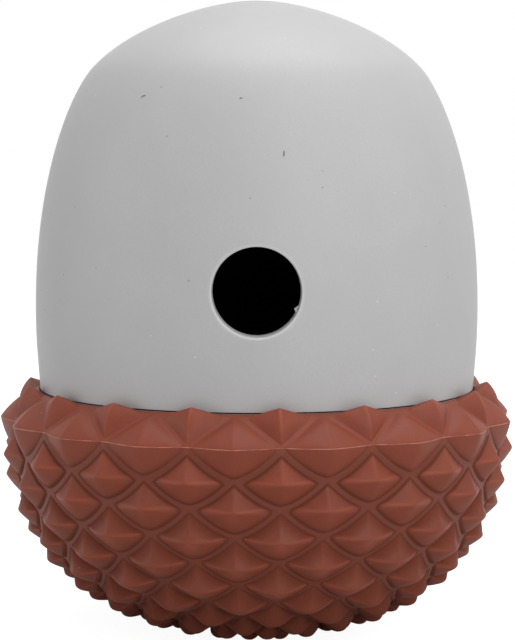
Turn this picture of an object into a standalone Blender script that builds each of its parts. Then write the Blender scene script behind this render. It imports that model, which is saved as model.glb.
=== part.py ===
"""Treat ball: an acorn-shaped treat dispenser. A smooth dome with a treat hole unscrews from a
weighted base that wears a studded rubber cup. Units are metres, +Z is up, the treat hole faces -Y."""

import bpy
import bmesh
import numpy as np
from math import ceil, cos, pi, radians, sin, tau
from mathutils import Matrix

# Fits
FIT_GAP = 0.0003            # between pieces that touch
CUT_OVERRUN = 0.002         # how far a cutter runs past the face that it opens

# Studded rubber cup
CUP_RADIUS = 0.0604         # floor of the channels at the seam, the widest ring
SEAM_HEIGHT = 0.0535        # of the widest ring above the surface that the toy stands on
CUP_WALL = 0.003
RIM_RISE = 0.0071           # of the rim above the seam
RIM_WIDTH = 0.0067          # from the dome's foot out to the widest ring
RIM_LAND = 0.0003           # between the mouth's edge and the uppermost studs
LIP_DEPTH = 0.0048          # the lip that hooks over the collar
PAD_RADIUS = 0.011          # smooth round pad that the toy stands on
PAD_DROP = 0.0018           # of the pad below the channels' lowest point
PAD_EDGE = 0.0006
STUDS_PER_ROW = 18
ROW_PITCH = 0.007           # between rows, along the outline
STUD_HEIGHT = 0.00345
CHANNEL_WIDTH = 0.0022
RIM_STUD_RISE = 0.0015      # of the uppermost studs' tips above the rim
RIM_STUD_REACH = 0.0024     # of those tips outside the mouth's edge
LATTICE_TURN = radians(5.2)
FLANK_share = 0.365         # of the cup's depth, over which its flank stays upright
FLOOR_share = 0.844         # of the cup's radius, over which its underside stays level
RIM_FLANK_share = 0.62      # the same two shares for the shoulder above the seam
RIM_FLOOR_share = 0.45
SAG_share = 0.13            # how far the channels sag between crossings, of the row pitch
FADE_share = 0.85           # how much of their height the studs would lose at the lowest point
FADE_POWER = 8              # so that only the lowest rows are lower than the rest

# Base bowl
BOWL_WALL = 0.0026
BOSS_RADIUS = 0.0045
BOSS_INSET = 0.0115         # of the bosses' axes from the cover's edge
PILOT_WALL = 0.0016         # left under a pilot hole

# Ballast and its cover
BALLAST_DEPTH = 0.0120      # at the middle
COVER_LIP = 0.0015          # thickness of the edge that lies over the seal
COVER_SEAL_RADIUS = 0.0011  # of the seal's round section
SCREW_COUNT = 4
SCREW_RADIUS = 0.0015
HEAD_RADIUS = 0.0032
HEAD_HEIGHT = 0.0019
SOCKET_RADIUS = 0.0016
HEAD_SINK = 0.0002          # of a head below the cover's face
SCREW_EDGE = 0.0005
SOCKET_DEPTH = 0.0011

# Screw joint between the collar and the dome
THREAD_LEAD = 0.012         # rise for one turn
THREAD_STARTS = 2
THREAD_HEIGHT = 0.0015
THREAD_ROOT = 0.0026        # width of a ridge where it stands
THREAD_CREST = 0.0014
THREAD_GAP = 0.0004
THREAD_SINK = 0.0005        # of a ridge into the wall that carries it
THREAD_TURNS = 0.55         # length of each ridge
THREAD_RISE = 0.0012        # of the dome's ridges above its foot
FLANGE_THICKNESS = 0.0024
NECK_WALL = 0.0026
NECK_LAND = 0.0004          # between the collar's ridges and the neck's rounded edge
NECK_EDGE = 0.0005
SKIRT_LENGTH = 0.003
SKIRT_WALL = 0.002

# Seal ring in the dome's foot
SEAL_WIDTH = 0.0016
SEAL_HEIGHT = 0.0017
SEAL_PROUD = 0.0005         # how far it stands out of the groove
SEAL_EDGE = 0.0004

# Dome
DOME_HEIGHT = 0.0957        # above the rim
DOME_WALL = 0.0042
DOME_SWELL = 0.0012         # of the widest ring outside the foot
WAIST_RISE = 0.0194         # of the widest ring above the rim
SHOULDER_SLOPE = radians(46.4)
SHOULDER_RADIUS_share = 0.7322
SHOULDER_RISE_share = 0.7877
FOOT_HANDLE_share = 0.42    # handles of the outline's arcs, as shares of the arcs' heights or radii
FOOT_LEAN_share = 0.35
WAIST_UPPER_share = 0.558
SHOULDER_LOWER_share = 0.134
SHOULDER_UPPER_share = 0.34
CROWN_share = 0.291
HOLE_RADIUS = 0.010
HOLE_RISE = 0.0274          # of the treat hole's centre above the rim

# Mesh detail
DOME_SEGMENTS = 52
BASE_SEGMENTS = 44
SEAL_SEGMENTS = 32
HOLE_SEGMENTS = 32
SCREW_SEGMENTS = 12
BOSS_SEGMENTS = 24
SECTION_SEGMENTS = 8
HEX_SIDES = 6
THREAD_STEPS = 40           # to a full turn
CROWN_STEPS = 8
FLANK_STEPS = 7
FOOT_STEPS = 4
CUP_STATIONS = 9
DENSE_STEPS = 400
MERGE_DISTANCE = 0.00002
SHARP_ANGLE = radians(35)

# Heights, from the ground up
RIM_HEIGHT = SEAM_HEIGHT + RIM_RISE
FLANGE_TOP = RIM_HEIGHT - LIP_DEPTH - FIT_GAP
FLANGE_FLOOR = FLANGE_TOP - FLANGE_THICKNESS
BOWL_TOP = FLANGE_FLOOR - FIT_GAP
SEAL_FLOOR = FLANGE_TOP + FIT_GAP
DOME_FOOT = SEAL_FLOOR + SEAL_PROUD
DOME_WAIST = RIM_HEIGHT + WAIST_RISE
DOME_TOP = RIM_HEIGHT + DOME_HEIGHT
HOLE_HEIGHT = RIM_HEIGHT + HOLE_RISE
SHOULDER_HEIGHT = DOME_WAIST + (DOME_TOP - DOME_WAIST) * SHOULDER_RISE_share

# Walls and radii, from the outside in
BOWL_OUTSIDE = CUP_WALL + FIT_GAP
BOWL_INSIDE = BOWL_OUTSIDE + BOWL_WALL
DOME_FOOT_RADIUS = CUP_RADIUS - RIM_WIDTH
DOME_RADIUS = DOME_FOOT_RADIUS + DOME_SWELL
SHOULDER_RADIUS = DOME_RADIUS * SHOULDER_RADIUS_share
DOME_BORE = DOME_FOOT_RADIUS - DOME_WALL
SEAL_MIDDLE = (DOME_BORE + DOME_FOOT_RADIUS) / 2
NECK_RADIUS = DOME_BORE - THREAD_HEIGHT - THREAD_GAP
NECK_BORE = NECK_RADIUS - NECK_WALL

# The dome's ridges lie under the collar's, a gap below them where their sloping sides face
THREAD_TAPER = (THREAD_ROOT - THREAD_CREST) / 2
THREAD_SPACING = THREAD_CREST + THREAD_TAPER * (1 - THREAD_GAP / THREAD_HEIGHT) + THREAD_GAP
DOME_THREAD = DOME_FOOT + THREAD_RISE + THREAD_ROOT / 2
COLLAR_THREAD = DOME_THREAD + THREAD_SPACING
NECK_TOP = COLLAR_THREAD + THREAD_LEAD * THREAD_TURNS + THREAD_ROOT / 2 + NECK_LAND + NECK_EDGE

# The cover is as thick as its edge and the seal under it
BALLAST_TOP = PAD_DROP + BOWL_INSIDE + FIT_GAP + BALLAST_DEPTH
COVER_FLOOR = BALLAST_TOP + FIT_GAP
COVER_LIP_FLOOR = COVER_FLOOR + 2 * COVER_SEAL_RADIUS + FIT_GAP
COVER_TOP = COVER_LIP_FLOOR + COVER_LIP
SCREW_SEAT = COVER_TOP - HEAD_SINK - HEAD_HEIGHT


def empty_scene():
    for item in list(bpy.data.objects):
        bpy.data.objects.remove(item, do_unlink=True)
    for group in list(bpy.data.collections):
        bpy.data.collections.remove(group)


def new_collection(name):
    group = bpy.data.collections.new(name)
    bpy.context.scene.collection.children.link(group)
    return group


def material(name, colour, roughness, metallic=0.0):
    result = bpy.data.materials.new(name)
    result.use_nodes = True
    shader = result.node_tree.nodes["Principled BSDF"]
    shader.inputs["Base Color"].default_value = (*colour, 1.0)
    shader.inputs["Roughness"].default_value = roughness
    shader.inputs["Metallic"].default_value = metallic
    result.diffuse_color = (*colour, 1.0)
    return result


def link(name, mesh, group):
    item = bpy.data.objects.new(name, mesh)
    group.objects.link(item)
    return item


def finish(item, surface):
    item.data.materials.clear()
    item.data.materials.append(surface)
    item.data.shade_smooth()
    item.data.set_sharp_from_angle(angle=SHARP_ANGLE)
    return item


def as_cutter(item):
    item.hide_render = True
    item.display_type = "WIRE"
    return item


def boolean(item, other, operation):
    change = item.modifiers.new(operation.lower(), "BOOLEAN")
    change.operation = operation
    change.solver = "EXACT"
    change.object = other


def bezier(start, start_handle, end_handle, end, count):
    """Points of a cubic arc, ends included."""
    t = np.linspace(0, 1, count)[:, None]
    points = [np.array(point, float) for point in (start, start_handle, end_handle, end)]
    weights = [(1 - t) ** 3, 3 * t * (1 - t) ** 2, 3 * t ** 2 * (1 - t), t ** 3]
    return sum(weight * point for weight, point in zip(weights, points))


def outward(curve):
    """Unit normals of a curve that runs down an outer side, pointing away from the axis."""
    run = np.gradient(curve, axis=0)
    run /= np.linalg.norm(run, axis=1)[:, None]
    return np.stack([-run[:, 1], run[:, 0]], axis=1)


def arc_length(curve):
    return np.concatenate([[0], np.cumsum(np.linalg.norm(np.diff(curve, axis=0), axis=1))])


def cup_outline():
    """The floor of the cup's channels from the seam to the lowest point."""
    level = (SEAM_HEIGHT - PAD_DROP) * FLANK_share
    return bezier((CUP_RADIUS, SEAM_HEIGHT), (CUP_RADIUS, SEAM_HEIGHT - level),
                  (CUP_RADIUS * FLOOR_share, PAD_DROP), (0, PAD_DROP), DENSE_STEPS)


def cup_stations(depth):
    """A few points of that outline, moved inwards. The nested walls share them, so they stay parallel."""
    curve = cup_outline()
    moved = curve - outward(curve) * depth
    moved[-1, 0] = 0
    steps = np.linspace(0, arc_length(curve)[-1], CUP_STATIONS)
    return np.stack([np.interp(steps, arc_length(curve), moved[:, axis]) for axis in (0, 1)], axis=1)


def cup_radius_at(height, depth):
    stations = cup_stations(depth)[::-1]
    return float(np.interp(height, stations[:, 1], stations[:, 0]))


def cup_height_at(radius, depth):
    stations = cup_stations(depth)[::-1]
    return float(np.interp(radius, stations[:, 0], stations[:, 1]))


def cup_outline_below(height, depth):
    """The moved outline from a height down to the axis."""
    lower = [tuple(point) for point in cup_stations(depth).tolist() if point[1] < height]
    return [(cup_radius_at(height, depth), height)] + lower


def dome_outline():
    """The dome's outer side from its crown to its foot."""
    down = np.array([cos(SHOULDER_SLOPE), -sin(SHOULDER_SLOPE)])
    shoulder = np.array([SHOULDER_RADIUS, SHOULDER_HEIGHT])
    crown = bezier((0, DOME_TOP), (SHOULDER_RADIUS * CROWN_share, DOME_TOP),
                   shoulder - down * SHOULDER_RADIUS * SHOULDER_UPPER_share, shoulder, CROWN_STEPS)
    rise = SHOULDER_HEIGHT - DOME_WAIST
    flank = bezier(shoulder, shoulder + down * rise * SHOULDER_LOWER_share,
                   (DOME_RADIUS, DOME_WAIST + rise * WAIST_UPPER_share), (DOME_RADIUS, DOME_WAIST),
                   FLANK_STEPS)
    drop = (DOME_WAIST - DOME_FOOT) * FOOT_HANDLE_share
    lean = (DOME_RADIUS - DOME_FOOT_RADIUS) * FOOT_LEAN_share
    foot = bezier((DOME_RADIUS, DOME_WAIST), (DOME_RADIUS, DOME_WAIST - drop),
                  (DOME_FOOT_RADIUS + lean, DOME_FOOT + drop), (DOME_FOOT_RADIUS, DOME_FOOT),
                  FOOT_STEPS)
    return np.vstack([crown, flank[1:], foot[1:]])


def clear_of(radius, segments):
    """Corner radius of a many-sided bore whose flat sides stay clear of a radius."""
    return radius / cos(pi / segments)


def mouth_radius():
    """Corner radius of the cup's mouth, a fit round the dome's foot."""
    outline = dome_outline()[::-1]
    dome = float(np.interp(RIM_HEIGHT, outline[:, 1], outline[:, 0]))
    return clear_of(dome + FIT_GAP, BASE_SEGMENTS)


def rim_ring():
    """Radius of the lattice's uppermost ring, which the mouth cuts away."""
    return mouth_radius() + RIM_LAND - CHANNEL_WIDTH / 2


def turned(name, profile, group, segments, closed=False):
    """A profile of radius and height turned about the Z axis. It runs down its outer side."""
    mesh = bpy.data.meshes.new(name)
    edges = [(step, step + 1) for step in range(len(profile) - 1)]
    if closed:
        edges.append((len(profile) - 1, 0))
    mesh.from_pydata([(radius, 0, height) for radius, height in profile], edges, [])
    item = link(name, mesh, group)
    screw = item.modifiers.new("turn", "SCREW")
    screw.axis = "Z"
    screw.angle = tau
    screw.steps = segments
    screw.render_steps = segments
    screw.use_merge_vertices = True
    screw.merge_threshold = MERGE_DISTANCE
    return item


def cylinder(name, radius, height, group, segments, floor=0.0, place=(0, 0)):
    """A round bar that stands on floor."""
    mesh = bpy.data.meshes.new(name)
    shape = bmesh.new()
    bmesh.ops.create_cone(shape, cap_ends=True, segments=segments, radius1=radius, radius2=radius,
                          depth=height)
    bmesh.ops.translate(shape, verts=shape.verts, vec=(0, 0, height / 2))
    shape.to_mesh(mesh)
    shape.free()
    item = link(name, mesh, group)
    item.location = (*place, floor)
    return item


def thread_tool(name, root_radius, crest_radius, floor, group):
    """The ridges of a right-hand screw thread, one for each start, to be joined to their wall."""
    sunk = root_radius - THREAD_SINK if crest_radius > root_radius else root_radius + THREAD_SINK
    section = [(root_radius, -THREAD_ROOT / 2), (crest_radius, -THREAD_CREST / 2),
               (crest_radius, THREAD_CREST / 2), (root_radius, THREAD_ROOT / 2),
               (sunk, THREAD_ROOT / 2), (sunk, -THREAD_ROOT / 2)]
    count = len(section)
    profile = bpy.data.meshes.new(name)
    profile.from_pydata([(radius, 0, height) for radius, height in section],
                        [(step, (step + 1) % count) for step in range(count)], [])
    ridge = link(name, profile, group)
    screw = ridge.modifiers.new("sweep", "SCREW")
    screw.axis = "Z"
    screw.angle = tau * THREAD_TURNS
    screw.screw_offset = THREAD_LEAD * THREAD_TURNS
    screw.steps = ceil(THREAD_TURNS * THREAD_STEPS)
    screw.render_steps = screw.steps
    swept = bpy.data.meshes.new_from_object(ridge.evaluated_get(bpy.context.evaluated_depsgraph_get()))
    bpy.data.objects.remove(ridge, do_unlink=True)
    shape = bmesh.new()
    for start in range(THREAD_STARTS):
        bmesh.ops.rotate(shape, verts=shape.verts, matrix=Matrix.Rotation(tau / THREAD_STARTS, 3, "Z"))
        shape.from_mesh(swept)
    bmesh.ops.translate(shape, verts=shape.verts, vec=(0, 0, floor))
    bmesh.ops.holes_fill(shape, edges=[edge for edge in shape.edges if edge.is_boundary], sides=count)
    bmesh.ops.recalc_face_normals(shape, faces=shape.faces)
    mesh = bpy.data.meshes.new(name)
    shape.to_mesh(mesh)
    shape.free()
    return as_cutter(link(name, mesh, group))


def skin_point(curve, level, half):
    """A point of the lattice: level counts rows down from the seam, half counts half studs round."""
    if level < 0:
        rise = RIM_HEIGHT - SEAM_HEIGHT
        ring = rim_ring()
        shoulder = bezier((CUP_RADIUS, SEAM_HEIGHT), (CUP_RADIUS, SEAM_HEIGHT + rise * RIM_FLANK_share),
                          (ring + (CUP_RADIUS - ring) * RIM_FLOOR_share, RIM_HEIGHT),
                          (ring, RIM_HEIGHT), DENSE_STEPS)
        radius, height = [np.interp(-level, np.linspace(0, 1, DENSE_STEPS), shoulder[:, axis])
                          for axis in (0, 1)]
    else:
        along = arc_length(curve)
        radius, height = [np.interp(level * ROW_PITCH, along, curve[:, axis]) for axis in (0, 1)]
    angle = LATTICE_TURN + half * pi / STUDS_PER_ROW
    return float(radius * sin(angle)), float(-radius * cos(angle)), float(height)


def stud_tip(curve, level, half):
    angle = LATTICE_TURN + half * pi / STUDS_PER_ROW
    if level < 0:
        radius, height = mouth_radius() + RIM_STUD_REACH, RIM_HEIGHT + RIM_STUD_RISE
    else:
        along = arc_length(curve)
        fade = 1 - FADE_share * (along / along[-1]) ** FADE_POWER
        raised = curve + outward(curve) * STUD_HEIGHT * fade[:, None]
        radius, height = [np.interp(level * ROW_PITCH, along, raised[:, axis]) for axis in (0, 1)]
    return float(radius * sin(angle)), float(-radius * cos(angle)), float(height)


def studded_skin():
    """The lattice of four-sided studs, closed at the mouth and underneath."""
    curve = cup_outline()
    around = 2 * STUDS_PER_ROW
    pad_arc = np.interp(-PAD_RADIUS, -curve[:, 0], arc_length(curve))
    last = int(pad_arc / ROW_PITCH)
    shape = bmesh.new()
    points = {}

    def point(level, half):
        key = (level, half % around)
        if key not in points:
            points[key] = shape.verts.new(skin_point(curve, level, half))
        return points[key]

    def sagging(level, half):
        key = (level, half % around)
        if key not in points:
            points[key] = shape.verts.new(skin_point(curve, level + SAG_share, half))
        return points[key]

    studs = []
    side = 1 / 2
    for half in range(0, around, 2):
        face = shape.faces.new([point(-1, half), point(-1, half - 1), sagging(-side, half - side),
                                point(0, half), sagging(-side, half + side), point(-1, half + 1)])
        studs.append((face, stud_tip(curve, -1, half)))
    for row in range(last):
        for half in range(1 - row % 2, around, 2):
            face = shape.faces.new([
                point(row - 1, half), sagging(row - side, half - side), point(row, half - 1),
                sagging(row + side, half - side), point(row + 1, half), sagging(row + side, half + side),
                point(row, half + 1), sagging(row - side, half + side)])
            studs.append((face, stud_tip(curve, row, half)))
    for half in range(1 - last % 2, around, 2):
        shape.faces.new([point(last - 1, half), sagging(last - side, half - side), point(last, half - 1),
                         point(last, half + 1), sagging(last - side, half + side)])
    shape.faces.new([point(-1, half) for half in range(around)])
    shape.faces.new([point(last, half) for half in range(last % 2, around, 2)])
    bmesh.ops.recalc_face_normals(shape, faces=shape.faces)
    bmesh.ops.inset_individual(shape, faces=[face for face, tip in studs], thickness=CHANNEL_WIDTH / 2,
                               use_even_offset=True)
    for face, tip in studs:
        bmesh.ops.poke(shape, faces=[face])["verts"][0].co = tip
    mesh = bpy.data.meshes.new("studded_cup")
    shape.to_mesh(mesh)
    shape.free()
    return mesh


def studded_cup(parts, cutters, surface):
    """Stretched over the bowl; its lip hooks over the collar's flange."""
    item = link("studded_cup", studded_skin(), parts)
    pad_top = PAD_DROP + BOWL_OUTSIDE
    pad = turned("pad_tool", [(0, pad_top), (PAD_RADIUS, pad_top), (PAD_RADIUS, PAD_EDGE),
                              (PAD_RADIUS - PAD_EDGE, 0), (0, 0)], cutters, BASE_SEGMENTS)
    mouth = mouth_radius()
    top = RIM_HEIGHT + RIM_STUD_RISE + CUT_OVERRUN
    lip = RIM_HEIGHT - LIP_DEPTH
    inside = cup_outline_below(min(SEAM_HEIGHT, lip), CUP_WALL)
    hollow = turned("hollow_tool", [(0, top), (mouth, top), (mouth, lip), (inside[0][0], lip)] + inside,
                    cutters, BASE_SEGMENTS)
    boolean(item, as_cutter(pad), "UNION")
    boolean(item, as_cutter(hollow), "DIFFERENCE")
    return finish(item, surface)


def cover_radius():
    return cup_radius_at(COVER_LIP_FLOOR, BOWL_INSIDE + FIT_GAP)


def boss_places():
    circle = cover_radius() - BOSS_INSET
    turns = [tau * (index + 1 / 2) / SCREW_COUNT for index in range(SCREW_COUNT)]
    return [(circle * cos(turn), circle * sin(turn)) for turn in turns]


def pilot_radius():
    return clear_of(SCREW_RADIUS + FIT_GAP, SCREW_SEGMENTS)


def pilot_floor():
    """The pilot holes stop short of the bowl's outside at their outer edge."""
    edge = cover_radius() - BOSS_INSET + pilot_radius()
    return cup_height_at(edge, BOWL_OUTSIDE) + PILOT_WALL


def base_bowl(parts, cutters, surface):
    """Hard bowl inside the cup, with four bosses that carry the ballast's cover."""
    item = turned("base_bowl", [(0, BOWL_TOP)] + cup_outline_below(BOWL_TOP, BOWL_OUTSIDE), parts,
                  BASE_SEGMENTS)
    inside = cup_outline_below(BOWL_TOP, BOWL_INSIDE)
    top = BOWL_TOP + CUT_OVERRUN
    hollow = turned("bowl_tool", [(0, top), (inside[0][0], top)] + inside, cutters, BASE_SEGMENTS)
    floor = pilot_floor()
    pilots = []
    for index, place in enumerate(boss_places()):
        boss = cylinder(f"boss_tool_{index + 1}", BOSS_RADIUS, BALLAST_TOP, cutters, BOSS_SEGMENTS, 0,
                        place)
        boolean(hollow, as_cutter(boss), "DIFFERENCE")
        pilots.append(cylinder(f"pilot_tool_{index + 1}", pilot_radius(), BALLAST_TOP + CUT_OVERRUN - floor,
                               cutters, SCREW_SEGMENTS, floor, place))
    boolean(item, as_cutter(hollow), "DIFFERENCE")
    for pilot in pilots:
        boolean(item, as_cutter(pilot), "DIFFERENCE")
    return finish(item, surface)


def ballast_weight(parts, cutters, surface):
    """Cast to the shape of the bowl's floor, with a round hole for each boss."""
    under = cup_outline_below(BALLAST_TOP, BOWL_INSIDE + FIT_GAP)
    item = turned("ballast_weight", [(0, BALLAST_TOP)] + under, parts, BASE_SEGMENTS)
    for index, place in enumerate(boss_places()):
        hole = cylinder(f"ballast_tool_{index + 1}", clear_of(BOSS_RADIUS + FIT_GAP, BOSS_SEGMENTS),
                        BALLAST_TOP + CUT_OVERRUN, cutters, BOSS_SEGMENTS, 0, place)
        boolean(item, as_cutter(hole), "DIFFERENCE")
    return finish(item, surface)


def cover_seal_centre():
    depth = BOWL_INSIDE + FIT_GAP + COVER_SEAL_RADIUS
    height = COVER_LIP_FLOOR - FIT_GAP - COVER_SEAL_RADIUS
    return cup_radius_at(height, depth), height


def cover_seal(parts, surface):
    """Round rubber ring wedged between the cover's lip and the bowl's wall."""
    radius, height = cover_seal_centre()
    bpy.ops.mesh.primitive_torus_add(major_radius=radius, minor_radius=COVER_SEAL_RADIUS,
                                     major_segments=SEAL_SEGMENTS, minor_segments=SECTION_SEGMENTS,
                                     location=(0, 0, height))
    item = bpy.context.active_object
    item.name = "cover_seal"
    for group in list(item.users_collection):
        group.objects.unlink(item)
    parts.objects.link(item)
    return finish(item, surface)


def weight_cover(parts, cutters, surface):
    """Disc that shuts the ballast in and is the floor of the treat chamber."""
    seal_radius, seal_height = cover_seal_centre()
    step = seal_radius - COVER_SEAL_RADIUS - FIT_GAP
    edge = cover_radius()
    profile = [(0, COVER_TOP), (edge, COVER_TOP), (edge, COVER_LIP_FLOOR), (step, COVER_LIP_FLOOR),
               (step, COVER_FLOOR), (0, COVER_FLOOR)]
    item = turned("weight_cover", profile, parts, BASE_SEGMENTS)
    for index, place in enumerate(boss_places()):
        seat = SCREW_SEAT - FIT_GAP
        sink = cylinder(f"counterbore_tool_{index + 1}", clear_of(HEAD_RADIUS + FIT_GAP, BOSS_SEGMENTS),
                        COVER_TOP + CUT_OVERRUN - seat, cutters, BOSS_SEGMENTS, seat, place)
        hole = cylinder(f"shank_tool_{index + 1}", pilot_radius(), seat - COVER_FLOOR + 2 * CUT_OVERRUN,
                        cutters, SCREW_SEGMENTS, COVER_FLOOR - CUT_OVERRUN, place)
        boolean(item, as_cutter(sink), "DIFFERENCE")
        boolean(item, as_cutter(hole), "DIFFERENCE")
    return finish(item, surface)


def cover_screws(parts, cutters, surface):
    """Socket-head screws through the cover into the bowl's bosses."""
    tip = pilot_floor() + FIT_GAP - SCREW_SEAT
    profile = [(0, HEAD_HEIGHT), (HEAD_RADIUS - SCREW_EDGE, HEAD_HEIGHT),
               (HEAD_RADIUS, HEAD_HEIGHT - SCREW_EDGE), (HEAD_RADIUS, 0), (SCREW_RADIUS, 0),
               (SCREW_RADIUS, tip + SCREW_EDGE), (SCREW_RADIUS - SCREW_EDGE, tip), (0, tip)]
    for index, place in enumerate(boss_places()):
        item = turned(f"cover_screw_{index + 1}", profile, parts, SCREW_SEGMENTS)
        item.location = (*place, SCREW_SEAT)
        socket = cylinder(f"socket_tool_{index + 1}", SOCKET_RADIUS, SOCKET_DEPTH + CUT_OVERRUN, cutters,
                          HEX_SIDES, SCREW_SEAT + HEAD_HEIGHT - SOCKET_DEPTH, place)
        boolean(item, as_cutter(socket), "DIFFERENCE")
        finish(item, surface)


def threaded_collar(parts, cutters, surface):
    """Ring welded to the bowl's top edge: a flange for the dome to seat on and a threaded neck."""
    flange = cup_radius_at(min(SEAM_HEIGHT, FLANGE_FLOOR), BOWL_OUTSIDE)
    skirt_floor = FLANGE_FLOOR - SKIRT_LENGTH
    skirt = cup_radius_at(skirt_floor, BOWL_INSIDE + FIT_GAP)
    profile = [(NECK_RADIUS - NECK_EDGE, NECK_TOP), (NECK_RADIUS, NECK_TOP - NECK_EDGE),
               (NECK_RADIUS, FLANGE_TOP), (flange, FLANGE_TOP), (flange, FLANGE_FLOOR),
               (skirt, FLANGE_FLOOR), (skirt, skirt_floor), (skirt - SKIRT_WALL, skirt_floor),
               (NECK_BORE, FLANGE_FLOOR), (NECK_BORE, NECK_TOP - NECK_EDGE),
               (NECK_BORE + NECK_EDGE, NECK_TOP)]
    item = turned("threaded_collar", profile, parts, BASE_SEGMENTS, closed=True)
    ridges = thread_tool("neck_thread_tool", NECK_RADIUS, NECK_RADIUS + THREAD_HEIGHT, COLLAR_THREAD,
                         cutters)
    boolean(item, ridges, "UNION")
    return finish(item, surface)


def seal_ring(parts, surface):
    """Rubber ring in the groove of the dome's foot, which it follows up and down."""
    low, high = SEAL_FLOOR, SEAL_FLOOR + SEAL_HEIGHT
    inner, outer = SEAL_MIDDLE - SEAL_WIDTH / 2, SEAL_MIDDLE + SEAL_WIDTH / 2
    profile = [(outer - SEAL_EDGE, high), (outer, high - SEAL_EDGE), (outer, low + SEAL_EDGE),
               (outer - SEAL_EDGE, low), (inner + SEAL_EDGE, low), (inner, low + SEAL_EDGE),
               (inner, high - SEAL_EDGE), (inner + SEAL_EDGE, high)]
    return finish(turned("seal_ring", profile, parts, SEAL_SEGMENTS, closed=True), surface)


def dome_shell(parts, cutters, surface):
    """Turned shell with the treat hole in front, a groove in its foot and a thread inside."""
    outside = dome_outline()
    inside = outside - outward(outside) * DOME_WALL
    inside[0, 0] = 0
    upper = [tuple(point) for point in inside.tolist() if point[0] < DOME_BORE and point[1] > DOME_WAIST]
    groove = SEAL_WIDTH / 2 + FIT_GAP
    groove_top = SEAL_FLOOR + SEAL_HEIGHT + FIT_GAP
    foot = [(SEAL_MIDDLE + groove, DOME_FOOT), (SEAL_MIDDLE + groove, groove_top),
            (SEAL_MIDDLE - groove, groove_top), (SEAL_MIDDLE - groove, DOME_FOOT),
            (DOME_BORE, DOME_FOOT), (DOME_BORE, DOME_WAIST)]
    profile = [tuple(point) for point in outside.tolist()] + foot + upper[::2][::-1]
    item = turned("dome_shell", profile, parts, DOME_SEGMENTS)
    hole = cylinder("treat_hole_tool", HOLE_RADIUS, DOME_RADIUS + CUT_OVERRUN, cutters, HOLE_SEGMENTS,
                    HOLE_HEIGHT)
    hole.rotation_euler = (pi / 2, 0, 0)
    ridges = thread_tool("dome_thread_tool", DOME_BORE, DOME_BORE - THREAD_HEIGHT, DOME_THREAD, cutters)
    boolean(item, as_cutter(hole), "DIFFERENCE")
    boolean(item, ridges, "UNION")
    return finish(item, surface)


def build():
    empty_scene()
    parts = new_collection("treat_ball")
    cutters = new_collection("cutters")
    grey = material("dome_grey", (0.47, 0.47, 0.48), 0.55)
    brown = material("cup_brown", (0.22, 0.058, 0.036), 0.6)
    bowl = material("bowl_black", (0.03, 0.03, 0.032), 0.5)
    collar = material("collar_black", (0.035, 0.035, 0.037), 0.45)
    iron = material("ballast_iron", (0.13, 0.13, 0.135), 0.6, 0.9)
    floor = material("cover_grey", (0.36, 0.36, 0.37), 0.5)
    soft = material("seal_black", (0.02, 0.02, 0.02), 0.7)
    lower = material("cover_seal_black", (0.025, 0.025, 0.025), 0.7)
    steel = material("screw_steel", (0.56, 0.56, 0.57), 0.35, 1.0)
    studded_cup(parts, cutters, brown)
    base_bowl(parts, cutters, bowl)
    ballast_weight(parts, cutters, iron)
    cover_seal(parts, lower)
    weight_cover(parts, cutters, floor)
    cover_screws(parts, cutters, steel)
    threaded_collar(parts, cutters, collar)
    axis = bpy.data.objects.new("dome_axis", None)
    parts.objects.link(axis)
    axis.location = (0, 0, FLANGE_TOP)
    bpy.context.view_layer.update()
    for item in (seal_ring(parts, soft), dome_shell(parts, cutters, grey)):
        item.parent = axis
        item.matrix_parent_inverse = axis.matrix_world.inverted()


build()
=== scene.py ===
"""Treat ball: a smooth grey dome with a treat hole, screwed to a weighted base in a studded brown
rubber cup. Units are metres, +Z is up, and the treat hole faces -Y."""

from math import cos, pi, radians, sin, tau
from typing import NamedTuple

import bmesh
import bpy
import numpy as np
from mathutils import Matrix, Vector


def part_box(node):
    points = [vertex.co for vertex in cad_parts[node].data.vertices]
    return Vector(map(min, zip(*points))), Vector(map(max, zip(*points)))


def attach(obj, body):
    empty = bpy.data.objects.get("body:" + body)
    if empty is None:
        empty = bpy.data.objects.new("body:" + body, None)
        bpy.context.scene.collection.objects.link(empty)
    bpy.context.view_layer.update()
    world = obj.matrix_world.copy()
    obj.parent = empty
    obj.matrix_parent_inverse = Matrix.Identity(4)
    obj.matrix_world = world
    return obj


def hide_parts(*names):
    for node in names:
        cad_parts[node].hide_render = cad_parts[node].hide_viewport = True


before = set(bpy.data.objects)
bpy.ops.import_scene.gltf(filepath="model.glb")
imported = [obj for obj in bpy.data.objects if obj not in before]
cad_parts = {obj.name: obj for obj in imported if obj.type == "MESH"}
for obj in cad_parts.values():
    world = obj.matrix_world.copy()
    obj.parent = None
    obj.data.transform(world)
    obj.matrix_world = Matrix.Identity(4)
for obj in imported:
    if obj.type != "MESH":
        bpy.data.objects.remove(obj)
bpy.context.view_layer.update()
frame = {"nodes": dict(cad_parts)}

bl_info = {
    "name": "Treat Ball",
    "version": (1, 0, 0),
    "blender": (4, 5, 0),
    "location": "3D Viewport > Sidebar > Treat Ball",
    "description": "Builds a treat dispensing dog toy with a screwed dome and a studded rubber cup",
    "category": "Object",
}

# Where the fixed frame stands
DOME_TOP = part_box("dome_shell")[1].z
DOME_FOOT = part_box("dome_shell")[0].z
SEAL_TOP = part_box("seal_ring")[1].z
SEAL_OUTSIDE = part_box("seal_ring")[1].x

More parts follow.
